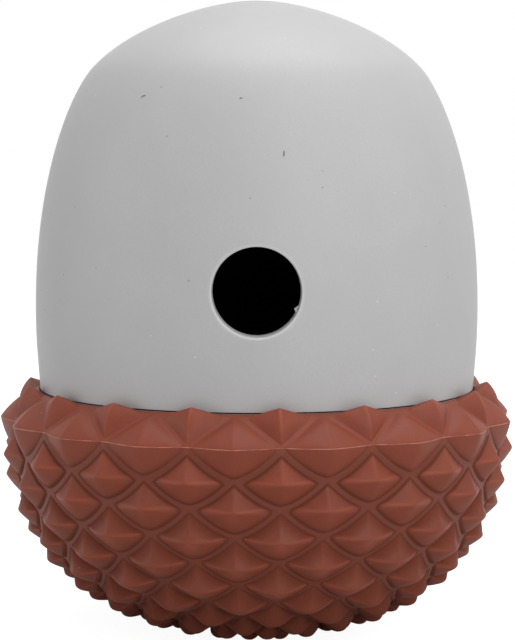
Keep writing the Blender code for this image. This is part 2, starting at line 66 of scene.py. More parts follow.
# Mesh detail
DENSE_STEPS = 1200          # of an outline that rows are read from
DOME_COLUMNS = 192
CROWN_ROWS = 56
FOOT_ROWS = 14
PATCH_CELLS = 16            # rows and columns of the dome that the hole's patch takes the place of
PATCH_RINGS = 6
PATCH_REACH = 1.42          # half the patch's side, of the hole's radius
PATCH_CROWDING = 1.35       # above 1, the patch's rings crowd towards the hole
ROUND_STEPS = 5
EDGE_STEPS = 12             # along one side of a stud
RIM_STEPS = 4               # up the mouth's land beside an uppermost stud
# Where a stud's rings lie, as shares of the way from its foot to its tip
STUD_SHARES = (0.0, 0.03, 0.08, 0.15, 0.24, 0.33, 0.42, 0.51, 0.60, 0.69, 0.78, 0.87, 0.94)
FOOT_HALVINGS = 24          # of the search for a stud's foot
SOFTENING_RINGS = 4         # of sample points round a point, from which a soft edge is averaged
SOFTENING_REACH = 2         # from the point to the outer ring, in widths of the softening
BLUNTING_REACH = 3          # along a foot's outline to each side, in widths of the blunting
FLOOR_STEPS = 4             # from the lowest studs to the pad
INSIDE_ROWS = 14
SCRATCH_STEPS = 8
SCRATCH_SIDES = 4
BEAD_SIDES = 6
THREAD_STEPS = 120          # to a full turn
SHARP_ANGLE = radians(32)
CUP_SHARP_ANGLE = radians(30)
MERGE_DISTANCE = 0.000002
TINY = 1e-9                 # keeps a division from failing

# How far the handles of the dome's arcs reach, as shares of the radius or the height that they span
CROWN_HANDLES = (0.291, 0.34)
FLANK_HANDLES = (0.134, 0.558)
FOOT_HANDLE = 0.42
FOOT_LEAN = 0.35
SEAL_ROOM = 0.0003          # round the seal ring in its groove
FOOT_EDGE = 0.0003          # blunting of the dome's foot

# Turns over which a ridge of the thread rises at its ends, and its share of the height there
THREAD_FADE = 0.02
THREAD_END = 0.05
THREAD_PLACE = 0.25         # turns from the front to where the first ridge starts

# Angle from the front in degrees, height, and how far along and up each scratch runs
SCRATCHES = ((-35.9, 0.1317, 0.0013, 0.0005), (-4.9, 0.1313, 0.0007, 0.0001),
             (7.1, 0.1197, -0.0001, -0.0015))
SCRATCH_END = 0.02          # share of the length from which the width is kept to the end
SCRATCH_BOW = 0.15          # how far a scratch bows up, of its run
# Corners of the scrap of flash: reach in hole radii, degrees below level, and how far back
FLASH_CORNERS = ((1.015, 15.5, 0.0012), (1.015, 28.5, 0.0012), (0.915, 23.5, 0.0012),
                 (0.97, 20.0, 0.0006))

# How far the handles of the cup's arcs reach, as shares of the radius or the height that they span
BELOW_HANDLES = (0.40, 0.852)
ABOVE_HANDLES = (0.12, 0.65)

CORNER_ROUND = 0.0002       # blunting of a stud's side corners
BLUNT_FROM, BLUNT_STEP = 4, 0.5     # studs grow softer below this row, by this share for each row
SHARP_SHARE = 0.2           # share of a stud's height over which the softening sets in
FLATTENING, FLATTENING_POWER = 0.85, 8      # how the studs grow lower towards the axis
TOP_NARROW = 0.27           # half an uppermost stud's width at the mouth's edge, of its full width
FOOT_RING = 0.0003          # from a stud's foot to the ring outside it
FOOT_RING_MOST = 0.6        # and no further than this share of the way to the border
CHANNEL_RISE = 0.5          # how far the middle of a channel stands up, of the crease's depth

# How much painted highlight and painted shade the studs get, all as shares
FOOT_SHADE = 0.6             # at a stud's foot, of the channel's
LEVEL_HIGHLIGHT, LEVEL_HIGHLIGHT_FALL = 0.7, 0.2        # of a level ridge at its foot, and what it loses to the tip
UPRIGHT_FALL = 0.7          # what an upright ridge loses below the tip
LOW_ROWS = (1, 2)           # row where the painted light and painted shade of the low rows set in, and rows to their most
CREASE_SHADE_REACH = 0.3           # of the way up a stud that the painted shade in its crease reaches
UPPER_FACET_SHADE = 0.6           # on the upper facets of the low rows
RING_SHADE = 0.35           # on the ring outside the crease
SHADED_ROWS = ((2, 2, 0.15), (5, 3, 0.6))   # row where the painted shade sets in, rows to its most, and its most
FLOOR_PAINTED_SHADE, INSIDE_PAINTED_SHADE = 0.8, 0.2

# Colours as amounts of the rubber's own red, green and blue: a painted highlight, a painted shade in the
# channels, a painted shade in the creases and low rows, and the parting line's paler tone
PAINTED_HIGHLIGHT = (1.5, 1.7, 1.8)
CHANNEL_SHADE = (0.60, 0.62, 0.64)
PAINTED_SHADE_TONE = (0.3, 0.5, 0.65)
PALE_LINE = (1.85, 3.2, 4.4)
LINT = (0.6, 0.45, 0.38)    # pale specks on the cup, a colour of their own
# Where a coarse and a fine noise have most of their values
MOTTLE, GRAIN = (0.35, 0.65), (0.3, 0.7)
SATIN = (0.46, 0.60)        # roughness of the dome and the cup, by the grain
CLOUD_GRAINS = 20           # grains to a cloud of a moulded finish
GLOSS_SPREAD = 0.07         # of a moulded finish's roughness, each way
SCRATCH_SHADE = 0.12        # of the dome's grey

FACING_IN = -0.5            # cosine from which a face of the dome looks in at the chamber
JOINT_MARGIN = 0.05         # round the joint's groove, of its width
SPECK_CORE = 0.6            # share of a speck's radius that is solid

# The floor's brightness to the eye, its painted shadow under the toy in reflections, and from where to
# where that shadow fades
FLOOR_WHITE, FLOOR_SHADOW, FLOOR_FADE = 0.93, 0.1, (0.03, 0.16)
PAPER = (0.3, 0.3, 0.3)     # what the floor throws back of the lamps, to the eye
# Name, place, size and power of each lamp
SOFTBOXES = (("top_softbox", (0.11, 0.0, 1.10), 0.9, 8.8),
             ("front_softbox", (0.42, -1.00, 0.42), 0.6, 4.75),
             ("right_softbox", (1.00, -0.30, 0.55), 0.5, 1.6),
             ("left_softbox", (-1.00, -0.15, 0.25), 0.6, 2.0))


def length(name, description, default):
    return bpy.props.FloatProperty(name=name, description=description, default=default, min=0.0,
                                   unit="LENGTH", precision=5)


def share(name, description, default):
    return bpy.props.FloatProperty(name=name, description=description, default=default, min=0.0,
                                   subtype="FACTOR", precision=3)


def degrees(name, description, default):
    return bpy.props.FloatProperty(name=name, description=description, default=radians(default),
                                   subtype="ANGLE")


def colour(name, description, default):
    return bpy.props.FloatVectorProperty(name=name, description=description, default=default, size=3,
                                         min=0.0, max=1.0, subtype="COLOR")


class DomeSizes(bpy.types.PropertyGroup):
    """The dome that unscrews from the base."""
    waist_height: length("Widest height", "Height of the widest ring above the ground", 0.0800)
    radius: length("Radius", "Radius of the widest ring", 0.0549)
    foot_radius: length("Foot radius", "Outer radius at the foot", 0.0537)
    wall: length("Wall", "Thickness of the shell", 0.0042)
    shoulder_radius: share("Shoulder radius", "Radius of the shoulder, of the widest radius", 0.7322)
    shoulder_rise: share("Shoulder rise", "Height of the shoulder, of the rise to the crown", 0.7877)
    shoulder_slope: degrees("Shoulder slope", "Slope of the shoulder", 46.4)
    hole_radius: length("Hole radius", "Radius of the treat hole", 0.0100)
    hole_height: length("Hole height", "Height of the treat hole's centre", 0.0880)
    hole_edge: length("Hole edge", "Rounding of the treat hole's edge", 0.00035)
    hole_draft: length("Hole draft", "What the treat hole is wider outside than inside", 0.0002)
    # A ring of painted highlight round the treat hole's edge, this wide
    hole_highlight: length("Hole halo", "Width of the rubbed ring round the treat hole", 0.0004)
    scratch: length("Scratch", "Half the width of a scratch", 0.00013)
    joint_height: length("Joint height", "Foot of the fine groove that parts dome and cup", 0.0606)
    joint_width: length("Joint width", "Width of that groove", 0.0003)
    joint_depth: length("Joint depth", "Depth of that groove", 0.0006)
    grey: colour("Grey", "Colour of the dome", (0.455, 0.452, 0.458))
    # The inside colour is a near-black painted shade for the dome's inner skin, its thread and the joint's
    # groove, all of the dome's own grey
    inside: colour("Inside", "Colour of the dome's inner skin", (0.022, 0.019, 0.019))


class CupSizes(bpy.types.PropertyGroup):
    """The studded rubber cup on the base."""
    seam_radius: length("Seam radius", "Floor of the channels at the widest ring", 0.0609)
    seam_height: length("Seam height", "Height of the widest ring", 0.05375)
    rim_height: length("Rim height", "Height of the mouth's rim", 0.0606)
    rim_gap: length("Rim gap", "Room between the mouth and the dome", 0.0003)
    rim_land: length("Rim land", "Between the mouth's edge and the uppermost crossings", 0.0003)
    top_corner: length("Top corner", "Ring of the uppermost studs' side corners", 0.0567)
    lip_depth: length("Lip depth", "Depth of the lip that hooks over the collar", 0.0048)
    wall: length("Wall", "Thickness under the channels", 0.0030)
    floor_height: length("Floor height", "Height of the channels' lowest point", 0.0018)
    pad_radius: length("Pad radius", "Radius of the pad that the toy stands on", 0.0110)
    pad_edge: length("Pad edge", "Rounding of the pad's edge", 0.0006)
    studs: bpy.props.IntProperty(name="Studs", description="Studs in a row", default=18, min=3)
    row_pitch: length("Row pitch", "Distance between rows along the outline", 0.00692)
    first_step: length("First step", "What the first row below the seam is further down", 0.0005)
    stud_height: length("Stud height", "Height of a stud above the channels", 0.0031)
    groove: length("Groove", "Depth of the creases along the channels", 0.00004)
    fillet: length("Fillet", "Width of the soft foot round a stud", 0.00045)
    ridge: length("Ridge", "Rounding of the studs' level ridges", 0.0004)
    # The ridges' paler stripe is a painted highlight
    ridge_highlight: length("Ridge rub", "Width of the rubbed stripe on a ridge", 0.00045)
    brow: length("Brow", "Rounding of the studs from side to side", 0.0004)
    turn: degrees("Turn", "Turn of the studs about the axis", 5.2)
    sag: share("Sag", "How far the channels sag between crossings, of the row pitch", 0.15)
    top_reach: length("Top reach", "Uppermost studs' tips outside the mouth", 0.0031)
    top_rise: length("Top rise", "Uppermost studs' tips above the rim", 0.00175)
    top_width: length("Top width", "Uppermost studs' width from corner to corner", 0.0157)
    valley: length("Valley", "Depth of the hollows beside the uppermost studs", 0.0007)
    valley_floor: length("Valley floor", "Half the width of those hollows' floor", 0.0004)
    valley_side: length("Valley side", "How far those hollows fade out to each side", 0.0012)
    mould_line: length("Mould line", "Radius of the mould's parting line", 0.00011)
    brown: colour("Brown", "Colour of the rubber", (0.225, 0.0460, 0.0218))


class BaseSizes(bpy.types.PropertyGroup):
    """The dome's thread, which fits the collar's, and the colours of the base's inner pieces."""
    lead: length("Lead", "Rise of the thread for one turn", 0.0120)
    turns: share("Turns", "Length of each ridge in turns", 0.55)
    starts: bpy.props.IntProperty(name="Starts", description="Ridges in the dome", default=2, min=1)
    thread_height: length("Thread height", "Height of a ridge", 0.0015)
    thread_root: length("Thread root", "Width of a ridge where it stands", 0.0026)
    thread_crest: length("Thread crest", "Width of a ridge at its top", 0.0014)
    thread_sink: length("Thread sink", "How far a ridge is sunk into its wall", 0.0005)
    dome_thread: length("Dome thread", "Height of the dome's ridges where they start", 0.0588)
    plastic: colour("Plastic", "Colour of the bowl and the collar", (0.033, 0.033, 0.035))
    cover: colour("Cover", "Colour of the ballast's cover", (0.36, 0.36, 0.37))
    iron: colour("Iron", "Colour of the ballast", (0.13, 0.13, 0.135))
    steel: colour("Steel", "Colour of the screws", (0.56, 0.56, 0.57))
    seal: colour("Seal", "Colour of the seals", (0.02, 0.02, 0.02))


class StageSizes(bpy.types.PropertyGroup):
    """Camera, floor and lamps."""
    target_height: length("Target height", "Height that the camera looks at", 0.07725)
    aside: length("Aside", "From the camera's middle to the toy's axis", 0.0002)
    distance: length("Distance", "From the camera to the toy's axis", 0.518)
    elevation: degrees("Elevation", "How far the camera looks down", 4.86)
    lens: bpy.props.FloatProperty(name="Lens", description="Focal length", default=116.55,
                                  unit="CAMERA")
    floor_width: length("Floor width", "Width of the floor", 3.0)
    floor_shade: share("Floor shade", "How much light the floor throws back", 0.63)
    room_light: share("Room light", "Brightness of the room", 0.32)


def bezier(start, start_handle, end_handle, end):
    """Points of a cubic arc, ends included."""
    t = np.linspace(0, 1, DENSE_STEPS)[:, None]
    points = [np.array(point, float) for point in (start, start_handle, end_handle, end)]
    weights = [(1 - t) ** 3, 3 * t * (1 - t) ** 2, 3 * t ** 2 * (1 - t), t ** 3]
    return sum(weight * point for weight, point in zip(weights, points))


def outward(curve):
    """Unit normals of a curve that runs down an outer side, pointing away from the axis."""
    run = np.gradient(curve, axis=0)
    run /= np.linalg.norm(run, axis=1)[:, None]
    return np.stack([-run[:, 1], run[:, 0]], axis=1)


def arc_length(curve):
    return np.concatenate([[0], np.cumsum(np.linalg.norm(np.diff(curve, axis=0), axis=1))])


def read(curve, places, along):
    """Points of a curve at some places along it."""
    return np.stack([np.interp(places, along, curve[:, axis]) for axis in range(curve.shape[1])], axis=-1)


def radius_at(outline, height):
    """Radius at one height or several of an outline that runs down."""
    return np.interp(-height, -outline[:, 1], outline[:, 0])


def on_circle(radius, height, angle):
    """Points at an angle from the front, seen from above to the right."""
    radius, height, angle = np.broadcast_arrays(radius, height, angle)
    return np.stack([radius * np.sin(angle), -radius * np.cos(angle), height], axis=-1)


def link(name, data):
    item = bpy.data.objects.new(name, data)
    bpy.context.scene.collection.objects.link(item)
    return item


def dress(item, surface):
    item.data.materials.clear()
    item.data.materials.append(surface)


def piece(mesh, surface):
    """An object named as its mesh, in one material."""
    item = link(mesh.name, mesh)
    dress(item, surface)
    return item


def mark(mesh, name, values):
    """Stores a number for each point, which a material reads by its name."""
    mesh.attributes.new(name, "FLOAT", "POINT").data.foreach_set("value", np.asarray(values, np.float32))


class Skin:
    """Points and faces that grow ring by ring, with marks on the points that a material reads."""

    def __init__(self):
        self.points, self.faces, self.marks = [], [], {}

    def join(self, first, second):
        """Faces between two rings of points."""
        for index in range(len(first)):
            after = (index + 1) % len(first)
            self.faces.append((first[index], first[after], second[after], second[index]))

    def add(self, rings, **marks):
        """Adds rings, each joined to the one before, and returns their points' numbers. A mark is one
        number, or one for each point."""
        rings = np.asarray(rings)
        first = len(self.points)
        self.points.extend(rings.reshape(-1, 3).tolist())
        numbers = np.arange(first, len(self.points)).reshape(rings.shape[:2]).tolist()
        for before, after in zip(numbers, numbers[1:]):
            self.join(before, after)
        for name, values in marks.items():
            self.marks.setdefault(name, []).extend(np.broadcast_to(values, rings.shape[:2]).flat)
        return numbers

    def add_bar(self, sides):
        """Adds a bar, shut at both ends, from the lines along its sides."""
        numbers = self.add(np.stack(sides, axis=1))
        self.faces += [numbers[0], numbers[-1]]

    def mesh(self, name, sharp_angle=SHARP_ANGLE):
        """A smooth mesh with its faces pointing out, merged where pieces of it meet."""
        mesh = bpy.data.meshes.new(name)
        mesh.from_pydata(self.points, [], self.faces)
        for marked, values in self.marks.items():
            mark(mesh, marked, values)
        shape = bmesh.new()
        shape.from_mesh(mesh)
        bmesh.ops.remove_doubles(shape, verts=shape.verts, dist=MERGE_DISTANCE)
        bmesh.ops.dissolve_degenerate(shape, edges=shape.edges, dist=MERGE_DISTANCE / 2)
        bmesh.ops.recalc_face_normals(shape, faces=shape.faces)
        shape.to_mesh(mesh)
        shape.free()
        mesh.shade_smooth()
        mesh.set_sharp_from_angle(angle=sharp_angle)
        return mesh


def dome_thread_mesh(dome, sizes):
    """The ridges of a right-hand thread in the dome's bore, one for each start, thin at both ends."""
    turn = np.linspace(0, sizes.turns, int(THREAD_STEPS * sizes.turns) + 1)
    ends = np.clip(np.minimum(turn, sizes.turns - turn) / THREAD_FADE, 0, 1) ** 0.5
    height = np.maximum(ends, THREAD_END)
    root = dome.foot_radius - dome.wall
    sunk = root + sizes.thread_sink
    crest = root - sizes.thread_height * height
    middle = sizes.dome_thread + sizes.lead * turn
    half_root, half_crest = sizes.thread_root / 2, sizes.thread_crest / 2
    section = [(sunk, -half_root), (root, -half_root), (crest, -half_crest), (crest, half_crest),
               (root, half_root), (sunk, half_root)]
    skin = Skin()
    for start in range(sizes.starts):
        angle = tau * (turn + THREAD_PLACE + start / sizes.starts)
        skin.add_bar([on_circle(radius, middle + rise * height, angle) for radius, rise in section])
    return skin.mesh("dome_thread")


def dome_outline(sizes):
    """The dome's outer side from its crown to its foot, in three arcs."""
    down = np.array([cos(sizes.shoulder_slope), -sin(sizes.shoulder_slope)])
    rise = DOME_TOP - sizes.waist_height
    shoulder = np.array([sizes.radius * sizes.shoulder_radius,
                         sizes.waist_height + rise * sizes.shoulder_rise])
    crown = bezier((0, DOME_TOP), (shoulder[0] * CROWN_HANDLES[0], DOME_TOP),
                   shoulder - down * shoulder[0] * CROWN_HANDLES[1], shoulder)
    climb = shoulder[1] - sizes.waist_height
    waist = (sizes.radius, sizes.waist_height)
    flank = bezier(shoulder, shoulder + down * climb * FLANK_HANDLES[0],
                   (sizes.radius, sizes.waist_height + climb * FLANK_HANDLES[1]), waist)
    drop = (sizes.waist_height - DOME_FOOT) * FOOT_HANDLE
    lean = (sizes.radius - sizes.foot_radius) * FOOT_LEAN
    foot = bezier(waist, (sizes.radius, sizes.waist_height - drop),
                  (sizes.foot_radius + lean, DOME_FOOT + drop), (sizes.foot_radius, DOME_FOOT))
    return np.vstack([crown, flank[1:], foot[1:]])


def skin_rows(curve, sizes):
    """Rows of a skin from the pole down, with PATCH_CELLS even steps of height across the patch."""
    along = arc_length(curve)
    half = sizes.hole_radius * PATCH_REACH
    top, bottom = sizes.hole_height + half, sizes.hole_height - half
    patch_start, patch_end = np.interp([-top, -bottom], -curve[:, 1], along)
    crown = read(curve, np.linspace(0, patch_start, CROWN_ROWS), along)
    heights = np.linspace(top, bottom, PATCH_CELLS + 1)[1:-1]
    middle = np.stack([radius_at(curve, heights), heights], axis=1)
    foot = read(curve, np.linspace(patch_end, along[-1], FOOT_ROWS), along)
    return np.vstack([crown, middle, foot])


def grooved(rows, sizes):
    """Rows of a skin with the fine groove where the cup's mouth meets the dome."""
    bottom, top = sizes.joint_height, sizes.joint_height + sizes.joint_width
    above, below = rows[rows[:, 1] > top], rows[rows[:, 1] < bottom]
    radius = radius_at(rows, bottom)
    inner = radius - sizes.joint_depth
    return np.vstack([above, (radius, top), (inner, top), (inner, bottom), (radius, bottom), below])


def dome_profile(sizes):
    """The outer and the inner outline, and all rows from the outer pole by the foot to the inner pole."""
    outside = dome_outline(sizes)
    inside = outside - outward(outside) * sizes.wall
    inside[0, 0] = 0
    bore = sizes.foot_radius - sizes.wall
    inside = inside[inside[:, 1] > sizes.waist_height]
    inside = np.vstack([np.minimum(inside, [bore, DOME_TOP]), (bore, DOME_FOOT)])
    middle = (bore + sizes.foot_radius) / 2
    groove = SEAL_OUTSIDE - middle + SEAL_ROOM
    groove_top = SEAL_TOP + SEAL_ROOM
    foot = [(sizes.foot_radius - FOOT_EDGE, DOME_FOOT), (middle + groove, DOME_FOOT),
            (middle + groove, groove_top), (middle - groove, groove_top),
            (middle - groove, DOME_FOOT), (bore + FOOT_EDGE, DOME_FOOT)]
    outer_rows, inner_rows = skin_rows(outside, sizes), skin_rows(inside, sizes)
    outer_rows[-1, 1] += FOOT_EDGE
    inner_rows[-1, 1] += FOOT_EDGE
    return outside, inside, np.vstack([grooved(outer_rows, sizes)[1:], foot, inner_rows[:0:-1]])


def patch_border(vertex, start, end):
    """Points round the front patch of a skin, from its row start to its row end and back."""
    half = PATCH_CELLS // 2
    step = 1 if end > start else -1
    border = [vertex(start, column) for column in range(-half, half)]
    border += [vertex(row, half) for row in range(start, end, step)]
    border += [vertex(end, column) for column in range(half, -half, -1)]
    return border + [vertex(row, -half) for row in range(end, start, -step)]


def hole_patch(skin, curve, border, sizes, hole, edge):
    """Rings between the square border of a patch and the treat hole. Returns the inmost ring."""
    centre = np.array([0.0, sizes.hole_height])
    flat = np.array([[skin.points[number][0], skin.points[number][2]] for number in border]) - centre
    outwards = flat / np.linalg.norm(flat, axis=1)[:, None]
    rim = outwards * (hole + edge)
    places = []
    for step in range(1, PATCH_RINGS + 1):
        part = 1 - (1 - step / PATCH_RINGS) ** PATCH_CROWDING
        places.append((centre + flat + (rim - flat) * part, 0.0))
    if edge:
        for turn in np.linspace(0, pi / 2, ROUND_STEPS + 1)[1:]:
            places.append((centre + outwards * (hole + edge * (1 - sin(turn))), edge * (1 - cos(turn))))
    rings = []
    for place, back in places:
        aside, height = place.T
        depth = back - np.sqrt(radius_at(curve, height) ** 2 - aside ** 2)
        rings.append(np.stack([aside, depth, height], axis=1))
    numbers = skin.add(rings)
    skin.join(border, numbers[0])
    return numbers[-1]


def dome_mesh(sizes):
    """Turned shell with a rounded treat hole, a groove in its foot and an open inside."""
    outside, inside, rows = dome_profile(sizes)
    skin = Skin()
    angles = np.arange(DOME_COLUMNS) * tau / DOME_COLUMNS
    skin.points = on_circle(rows[:, :1], rows[:, 1:], angles).reshape(-1, 3).tolist()
    half = PATCH_CELLS // 2
    last = len(rows) - 1
    # The patch starts at the crown's last row, and the pole isn't counted
    outer_start = CROWN_ROWS - 2
    outer_end = outer_start + PATCH_CELLS
    inner_end = last - outer_start
    inner_start = inner_end - PATCH_CELLS

    def vertex(row, column):
        return row * DOME_COLUMNS + column % DOME_COLUMNS

    for row in range(last):
        beside_hole = outer_start <= row < outer_end or inner_start <= row < inner_end
        for column in range(half if beside_hole else -half, DOME_COLUMNS - half):
            skin.faces.append((vertex(row, column), vertex(row, column + 1),
                               vertex(row + 1, column + 1), vertex(row + 1, column)))
    outer_rim = hole_patch(skin, outside, patch_border(vertex, outer_start, outer_end), sizes,
                           sizes.hole_radius + sizes.hole_draft, sizes.hole_edge)
    inner_rim = hole_patch(skin, inside, patch_border(vertex, inner_end, inner_start), sizes,
                           sizes.hole_radius, 0.0)
    skin.join(outer_rim, inner_rim)
    for row, height in ((0, DOME_TOP), (last, DOME_TOP - sizes.wall)):
        skin.points.append((0, 0, height))
        for column in range(DOME_COLUMNS):
            skin.faces.append((vertex(row, column), vertex(row, column + 1), len(skin.points) - 1))
    return skin.mesh("dome")


def mark_hole(mesh, sizes):
    """Marks the ring round the treat hole that gets a painted highlight, the light on its rounded edge."""
    spots = np.array([vertex.co for vertex in mesh.vertices])
    away = np.hypot(spots[:, 0], spots[:, 2] - sizes.hole_height) - sizes.hole_radius - sizes.hole_draft
    painted_light = np.exp(-(np.maximum(away, 0) / sizes.hole_highlight) ** 2)
    back = spots[:, 1] + np.sqrt(np.maximum(sizes.radius ** 2 - spots[:, 0] ** 2, 0))
    mark(mesh, "halo", painted_light * (spots[:, 1] < 0) * (back < sizes.wall / 2))


def mark_painted_shade(mesh, sizes):
    """Gives the faces that look in at the chamber and those in the joint's groove the second material, a
    near-black painted shade.
    """
    cavity = Vector((0, 0, sizes.waist_height))
    margin = sizes.joint_width * JOINT_MARGIN
    bottom, top = sizes.joint_height - margin, sizes.joint_height + sizes.joint_width + margin
    for face in mesh.polygons:
        away = face.center - cavity
        if bottom < face.center.z < top or face.normal.dot(away) < FACING_IN * away.length:
            face.material_index = 1


def scratches_mesh(sizes):
    """Fine dark scratches on the dome's shoulder, thinning out at both ends."""
    outline = dome_outline(sizes)
    t = np.linspace(0, 1, SCRATCH_STEPS + 1)
    width = sizes.scratch * np.sqrt(np.sin(pi * np.clip(t, SCRATCH_END, 1 - SCRATCH_END)))
    skin = Skin()
    for first_angle, first_height, run, rise in SCRATCHES:
        height = first_height + rise * t + run * SCRATCH_BOW * np.sin(pi * t)
        radius = radius_at(outline, height)
        angle = radians(first_angle) + run * t / radius
        across = width / np.hypot(run, rise)
        skin.add_bar([on_circle(radius + width * cos(turn), height + across * run * sin(turn),
                                angle - across * rise * sin(turn) / radius)
                      for turn in np.arange(SCRATCH_SIDES) * tau / SCRATCH_SIDES])
    return skin.mesh("scratches")


def flash_mesh(sizes):
    """Scrap of flash that stands in the treat hole at its lower right."""
    skin = Skin()
    for reach, down, back in FLASH_CORNERS:
        aside = sizes.hole_radius * reach * cos(radians(down))
        height = sizes.hole_height - sizes.hole_radius * reach * sin(radians(down))
        skin.points.append((aside, back - (sizes.radius ** 2 - aside ** 2) ** 0.5, height))
    skin.faces = [(0, 1, 2), (0, 2, 3), (2, 1, 3), (1, 0, 3)]
    mesh = skin.mesh("flash")
    mesh.shade_flat()
    return mesh


class CupSurface:
    """The floor of the channels. Levels count rows down from the seam, -1 is the uppermost crossings
    and -2 the mouth's edge. Places on it are distances across, and along the outline from the seam."""

    def __init__(self, sizes, mouth):
        drop = sizes.seam_height - sizes.floor_height
        rise = sizes.rim_height - sizes.seam_height
        seam = (sizes.seam_radius, sizes.seam_height)
        self.sizes = sizes
        self.mouth = mouth
        self.below = bezier(seam, (sizes.seam_radius, sizes.seam_height - drop * BELOW_HANDLES[0]),
                            (sizes.seam_radius * BELOW_HANDLES[1], sizes.floor_height),
                            (0, sizes.floor_height))
        self.above = bezier(seam, (sizes.seam_radius, sizes.seam_height + rise * ABOVE_HANDLES[0]),
                            (mouth + (sizes.seam_radius - mouth) * ABOVE_HANDLES[1], sizes.rim_height),
                            (mouth, sizes.rim_height))
        self.below_along = arc_length(self.below)
        self.above_along = arc_length(self.above)
        self.shoulder = self.above_along[-1] - sizes.rim_land
        self.normals = outward(self.below)
        self.above_normals = -outward(self.above)

    def along(self, level):
        """Distance along the outline, down from the seam."""
        level = np.asarray(level, float)
        land = self.above_along[-1] - self.shoulder
        up = np.where(level < -1, self.shoulder + (-1 - level) * land, -level * self.shoulder)
        down = level * self.sizes.row_pitch + np.clip(level, 0, 1) * self.sizes.first_step
        return np.where(level < 0, -up, down)

    def at(self, along):
        """Radius and height at a distance along the outline."""
        along = np.asarray(along, float)
        down = read(self.below, along, self.below_along)
        up = read(self.above, -along, self.above_along)
        return np.where(along[..., None] < 0, up, down)

    def places(self, levels, halves):
        """Places at some levels, and at shares of the way across to the neighbouring crossing."""
        along = self.along(levels)
        half_width = self.at(along)[..., 0] * pi / self.sizes.studs
        return np.stack([halves * half_width, along], axis=1)

    def hollowed(self, place, lines):
        """How the floor is sunk towards the channels' lines beside the uppermost studs."""
        sizes = self.sizes
        away = np.min([distance_to(place, line) for line in lines], axis=0) - sizes.valley_floor
        fade = np.exp(-(np.maximum(away, 0) / sizes.valley_side) ** 2)
        up = np.clip(-place[:, 1] / self.shoulder, 0, 1)
        sink = sizes.valley * 4 * up * (1 - up) * fade
        return read(self.above_normals, -place[:, 1], self.above_along) * -sink[:, None]


class StudRow(NamedTuple):
    """How the mould shaped the studs of a row. A facet's power above 1 hollows it and one below 1
    fills it, and the other way round for side_power."""
    upper: float                # least distance from the foot to the middle of the channels above
    lower: float                # and of those below
    top_round: float            # blunting of the upper corner
    bottom_round: float         # and of the lower one
    upper_power: float
    lower_power: float
    side_power: float
    height: float = 1.0         # of the full height
    crease: float = 1.0         # of the crease round the foot, and of the painted shade in it
    brow: float = 1.0           # of the rounding from side to side
    upright: float = 0.3        # of the painted highlight on the upright ridge
    up: float = 0.0             # how far the tip stands above the middle of its cell


# Rows by their level: 0 is the widest ring, and -1 holds the uppermost studs
ROWS = {-1: StudRow(upper=0.0, lower=0.0005, top_round=0.0002, bottom_round=0.0001, upper_power=1.0,
                    lower_power=0.65, side_power=0.9, crease=0.0, brow=0.2, upright=1.0),
        0: StudRow(upper=0.0005, lower=0.0004, top_round=0.0003, bottom_round=0.0003,
                   upper_power=1.25, lower_power=0.55, side_power=1.2, height=0.91, crease=0.5,
                   brow=0.7),
        1: StudRow(upper=0.0012, lower=0.0009, top_round=0.0002, bottom_round=0.0009,
                   upper_power=1.1, lower_power=0.8, side_power=1.15, height=1.05),
        2: StudRow(upper=0.0006, lower=0.0009, top_round=0.0002, bottom_round=0.0010,
                   upper_power=1.15, lower_power=0.8, side_power=1.2, up=0.0006)}
LOWER_ROW = StudRow(upper=0.00055, lower=0.0007, top_round=0.0004, bottom_round=0.0012,
                    upper_power=1.3, lower_power=0.75, side_power=1.4, height=0.98, up=0.0002)


def sagging(t, sag):
    """How far down a channel is, from one crossing to the next one below."""
    return t + 4 * sag * t * (1 - t)


def stud_border(surface, row):
    """Levels and halves along the sides of a stud's cell, and the least distance of its foot to each."""
    style = ROWS.get(row, LOWER_ROW)
    t = np.linspace(0, 1, EDGE_STEPS + 1)
    fall = sagging(t, surface.sizes.sag)

    def mirrored(side):
        return side[0][::-1], -side[1][::-1]

    lower = (row + (fall if row >= 0 else t), 1 - t)
    if row < 0:
        around = np.linspace(-1, 1, 2 * EDGE_STEPS + 1)
        rim = (np.full(len(around), row - 1.0), around)
        land = (np.linspace(row - 1, row, RIM_STEPS + 1), np.ones(RIM_STEPS + 1))
        sides = [rim, land, lower, mirrored(lower), mirrored(land)]
        return sides, [0.0, 0.0, style.lower, style.lower, 0.0]
    upper = (row - 1 + (fall if row > 0 else t), t)
    sides = [upper, lower, mirrored(lower), mirrored(upper)]
    return sides, [style.upper, style.lower, style.lower, style.upper]


def distance_to(points, line):
    """Least distance of each point to a line of points."""
    start, run = line[:-1], np.diff(line, axis=0)
    offset = points[:, None, :] - start[None, :, :]
    part = np.clip((offset * run).sum(-1) / (run ** 2).sum(-1), 0, 1)
    return np.linalg.norm(offset - part[..., None] * run, axis=-1).min(axis=1)


def stud_foot(border, lines, widths, centre):
    """The border moved towards the centre until the channel has its width."""
    near, far = np.zeros(len(border)), np.ones(len(border))
    for _ in range(FOOT_HALVINGS):
        part = (near + far) / 2
        place = border + (centre - border) * part[:, None]
        clear = np.all([distance_to(place, line) >= width for line, width in zip(lines, widths)], axis=0)
        far = np.where(clear, part, far)
        near = np.where(clear, near, part)
    return border + (centre - border) * far[:, None]


def top_foot(surface, foot, centre):
    """Keeps an uppermost stud's foot inside lines from its side corners in to the mouth's edge."""
    sizes = surface.sizes
    level = -float(np.interp(-sizes.top_corner, -surface.above[:, 0], surface.above_along))
    corner = np.array([sizes.top_width / 2, level])
    inner = np.array([sizes.top_width * TOP_NARROW, -surface.above_along[-1]])
    run = inner - corner
    aside = np.array([run[1], -run[0]]) / np.linalg.norm(run)
    if (centre - corner) @ aside > 0:
        aside = -aside
    for mirror in ([1, 1], [-1, 1]):
        across = aside * mirror
        out = (foot - centre) @ across
        room = (corner * mirror - centre) @ across
        part = np.where(out > room, room / np.maximum(out, TINY), 1.0)
        foot = centre + (foot - centre) * part[:, None]
    return foot


